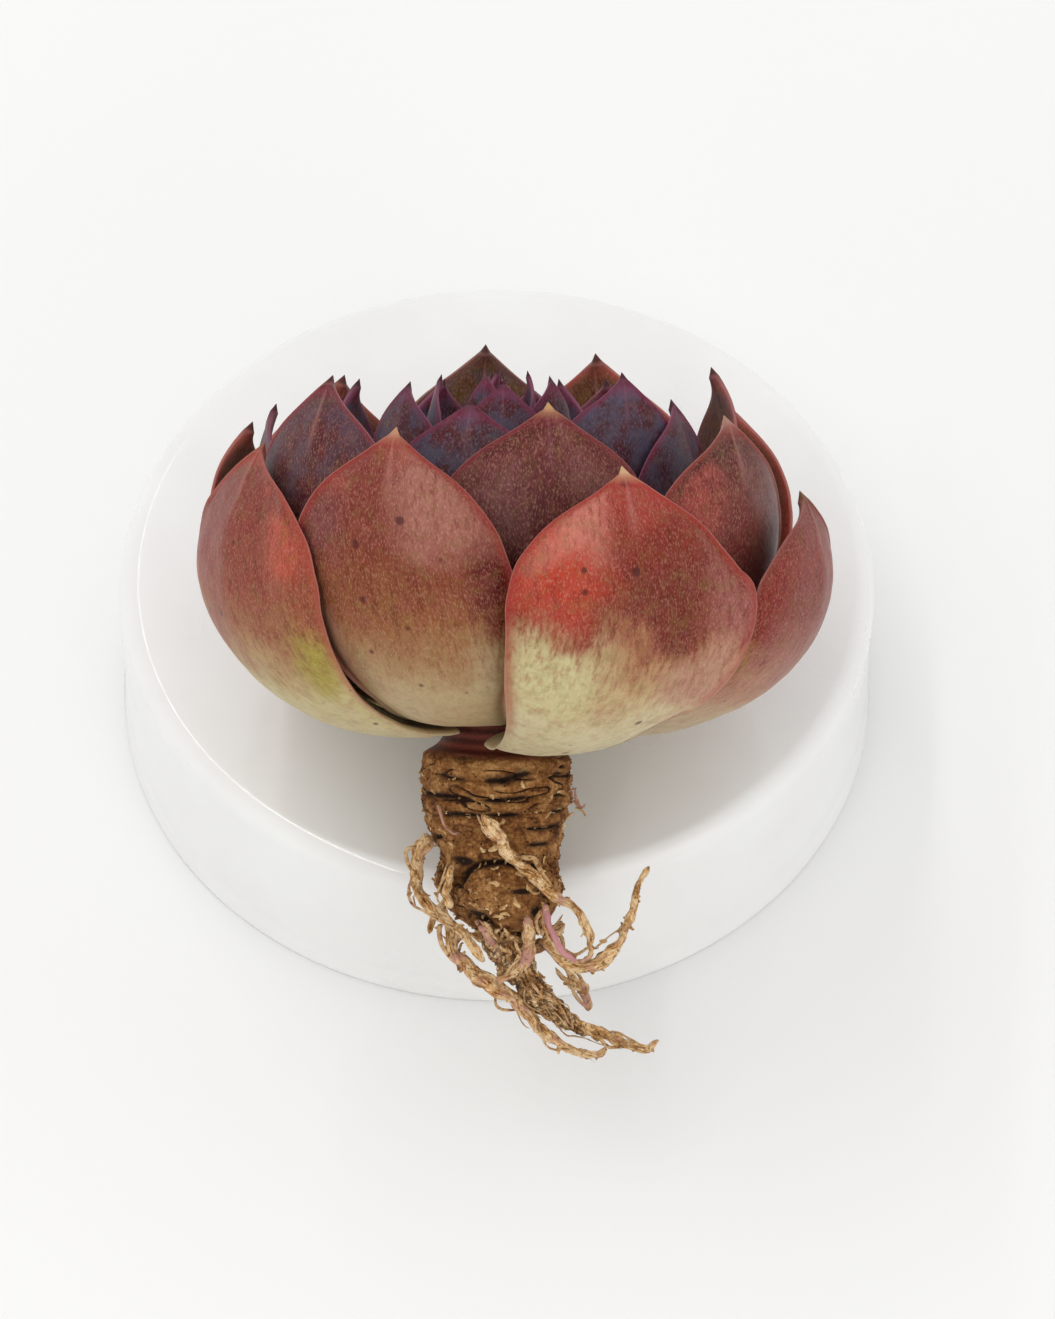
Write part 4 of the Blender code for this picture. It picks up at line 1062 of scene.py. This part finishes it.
def tubProfile():  # (radius, height) from the ceiling inside, round the rim, to the middle of the top
    t = tubShape
    slope = t["flare"] / t["height"]
    innerRound = t["edgeRound"] - t["wall"]
    corner, ceiling = t["topRadius"] - t["wall"], t["height"] - t["wall"]
    rim = t["topRadius"] + t["flare"]
    profile = [(radius, ceiling) for radius in (8.0, 20.0, 32.0, 40.0)]
    for step in np.radians(np.linspace(0, 90, 8)):
        aside, up = innerRound * math.sin(step), innerRound * math.cos(step)
        profile.append((corner - innerRound + aside, ceiling - innerRound + up))
    profile += [(rim - t["wall"] - slope * h, h) for h in (16.0, 8.0, 1.0)]
    profile += [(rim - t["wall"] + 0.25, 0.25), (rim - t["wall"] + 0.6, 0.0), (rim - 0.45, 0.0)]
    profile += [(rim - 0.1, 0.15), (rim, 0.5), (rim - 0.02, 1.3), (rim - 0.3, 1.7)]
    profile += [(rim - 0.3 - slope * h, h) for h in (4.0, 9.0, 15.0)]
    for step in np.radians(np.linspace(90, 0, 16)):
        height = t["height"] - t["edgeRound"] + t["edgeRound"] * math.cos(step)
        outward = slope * (t["height"] - height)
        profile.append((t["topRadius"] - t["edgeRound"] + t["edgeRound"] * math.sin(step) + outward, height))
    profile += [(radius, t["height"]) for radius in (42.0, 32.0, 20.0, 8.0)]
    return profile


def frostedFinish():  # thin polypropylene, moulded against a matt tool: milky, soft light through it
    finish, add, shader = newFinish(
        "frostedPolypropylene", IOR=1.49, Transmission_Weight=0.14, Coat_Weight=0.6, Coat_Roughness=0.06,
        Specular_IOR_Level=0.5)
    place = add("TexCoord", out=3)
    cloud = add("TexNoise", [place, 60.0, 3.0])
    colour = add("ValToRGB", {"Fac": cloud}, stops=[(0.3, "#f6f5f3"), (0.7, "#fbfbf9")])
    rough = add("MapRange", [cloud, 0.3, 0.7, 0.26, 0.36])
    grain = add("TexNoise", [place, 1800.0, 2.0])
    bump = add("Bump", [grain, 0.15, 0.05 * mm])
    feed(shader, {"Base Color": colour, "Roughness": rough, "Normal": bump})
    return finish


def makeTub():
    low, high = [np.array(corner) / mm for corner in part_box("tub")]
    middle = (low + high) / 2
    profile = tubProfile()
    sides = tubShape["sides"]
    turns = 2 * math.pi * np.arange(sides) / sides
    points = [(middle[0] + r * math.cos(a), middle[1] + r * math.sin(a), z) for r, z in profile for a in turns]
    points += [(middle[0], middle[1], profile[0][1]), (middle[0], middle[1], profile[-1][1])]
    piece = newPiece("frostedTub", np.array(points) * mm, closedTube(len(profile), sides), frostedFinish())
    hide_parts("tub")
    return piece


tub = makeTub()
print("tub turned")
leaves = makeLeaves()
print("leaves grown:", len(leaves))
stem = makeStem(corkFinish())
print("stem and crown shaped")
roots = makeRoots()
print("roots grown:", len(roots))
loose = makeLitter(stem, roots)
print("crumbs and flakes scattered")
for piece in (tub, *leaves, stem, *roots, *loose):
    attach(piece, "root")

studio = {
    "skyStrength": 0.915,
    "keyWatts": 0.85,
    "fillWatts": 0.55,
    "lightAim": (0.0, 0.0, 0.03),
    "floorHalf": 6.0,
    "elevation": 53.0,
    "distance": 450.0,  # from the middle of the tub's top
    "sensor": 36.0,
    "tall": 1319.0,  # the frame's tall side; the next two are in the same units
    "reach": 3686.0,  # the lens, as a length in front of the frame
    "shift": (92.9, -30.5),  # where the tub's middle sits off the frame's middle, down and left
}


def makeStage():
    half = studio["floorHalf"]
    finish, add, shader = newFinish("paperSweep", Roughness=0.9, Specular_IOR_Level=0.1)
    place = add("TexCoord", out=3)
    cloud = add("TexNoise", [place, 4.0, 2.0])
    colour = add("ValToRGB", {"Fac": cloud}, stops=[(0.3, "#eeeeed"), (0.7, "#f2f2f1")])
    feed(shader, {"Base Color": colour})
    corners = [(-half, -half, 0), (half, -half, 0), (half, half, 0), (-half, half, 0)]
    floor = newPiece("floor", corners, [(0, 1, 2, 3)], finish)
    world = bpy.data.worlds.new("studio")
    world.use_nodes = True
    feed(world.node_tree.nodes["Background"], {"Color": "#ffffff", "Strength": studio["skyStrength"]})
    scene.world = world
    lights = {
        "overheadStrip": ((-0.2, 0.02, 0.56), (1.0, 0.028), studio["keyWatts"]),
        "frontSoftbox": ((0.42, -0.52, 0.32), (0.5, 0.5), studio["fillWatts"]),
    }
    for name, (at, size, watts) in lights.items():
        light = bpy.data.lights.new(name, "AREA")
        light.shape = "RECTANGLE"
        light.size, light.size_y = size
        light.energy = watts
        lamp = placed(name, light)
        lamp.location = at
        lamp.rotation_euler = (Vector(studio["lightAim"]) - Vector(at)).to_track_quat("-Z", "Y").to_euler()
    scene.view_settings.view_transform = "Standard"


def placeCamera():
    low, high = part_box("tub")
    tilt, away = math.radians(studio["elevation"]), studio["distance"] * mm
    down, left = (math.atan2(part, studio["reach"]) for part in studio["shift"])
    camera = bpy.data.cameras.new("camera")
    camera.sensor_width = studio["sensor"]
    camera.lens = studio["reach"] / studio["tall"] * studio["sensor"]
    camera.clip_start = 0.01
    middle = (np.array(low) + high) / 2
    eye = (middle[0], middle[1] - away * math.cos(tilt), high[2] + away * math.sin(tilt))
    turned = Matrix.Rotation(math.pi / 2 - tilt - down, 4, "X") @ Matrix.Rotation(left, 4, "Y")
    scene.camera = placed("camera", camera)
    scene.camera.matrix_world = Matrix.Translation(eye) @ turned


makeStage()
placeCamera()
print("stage lit, camera placed")
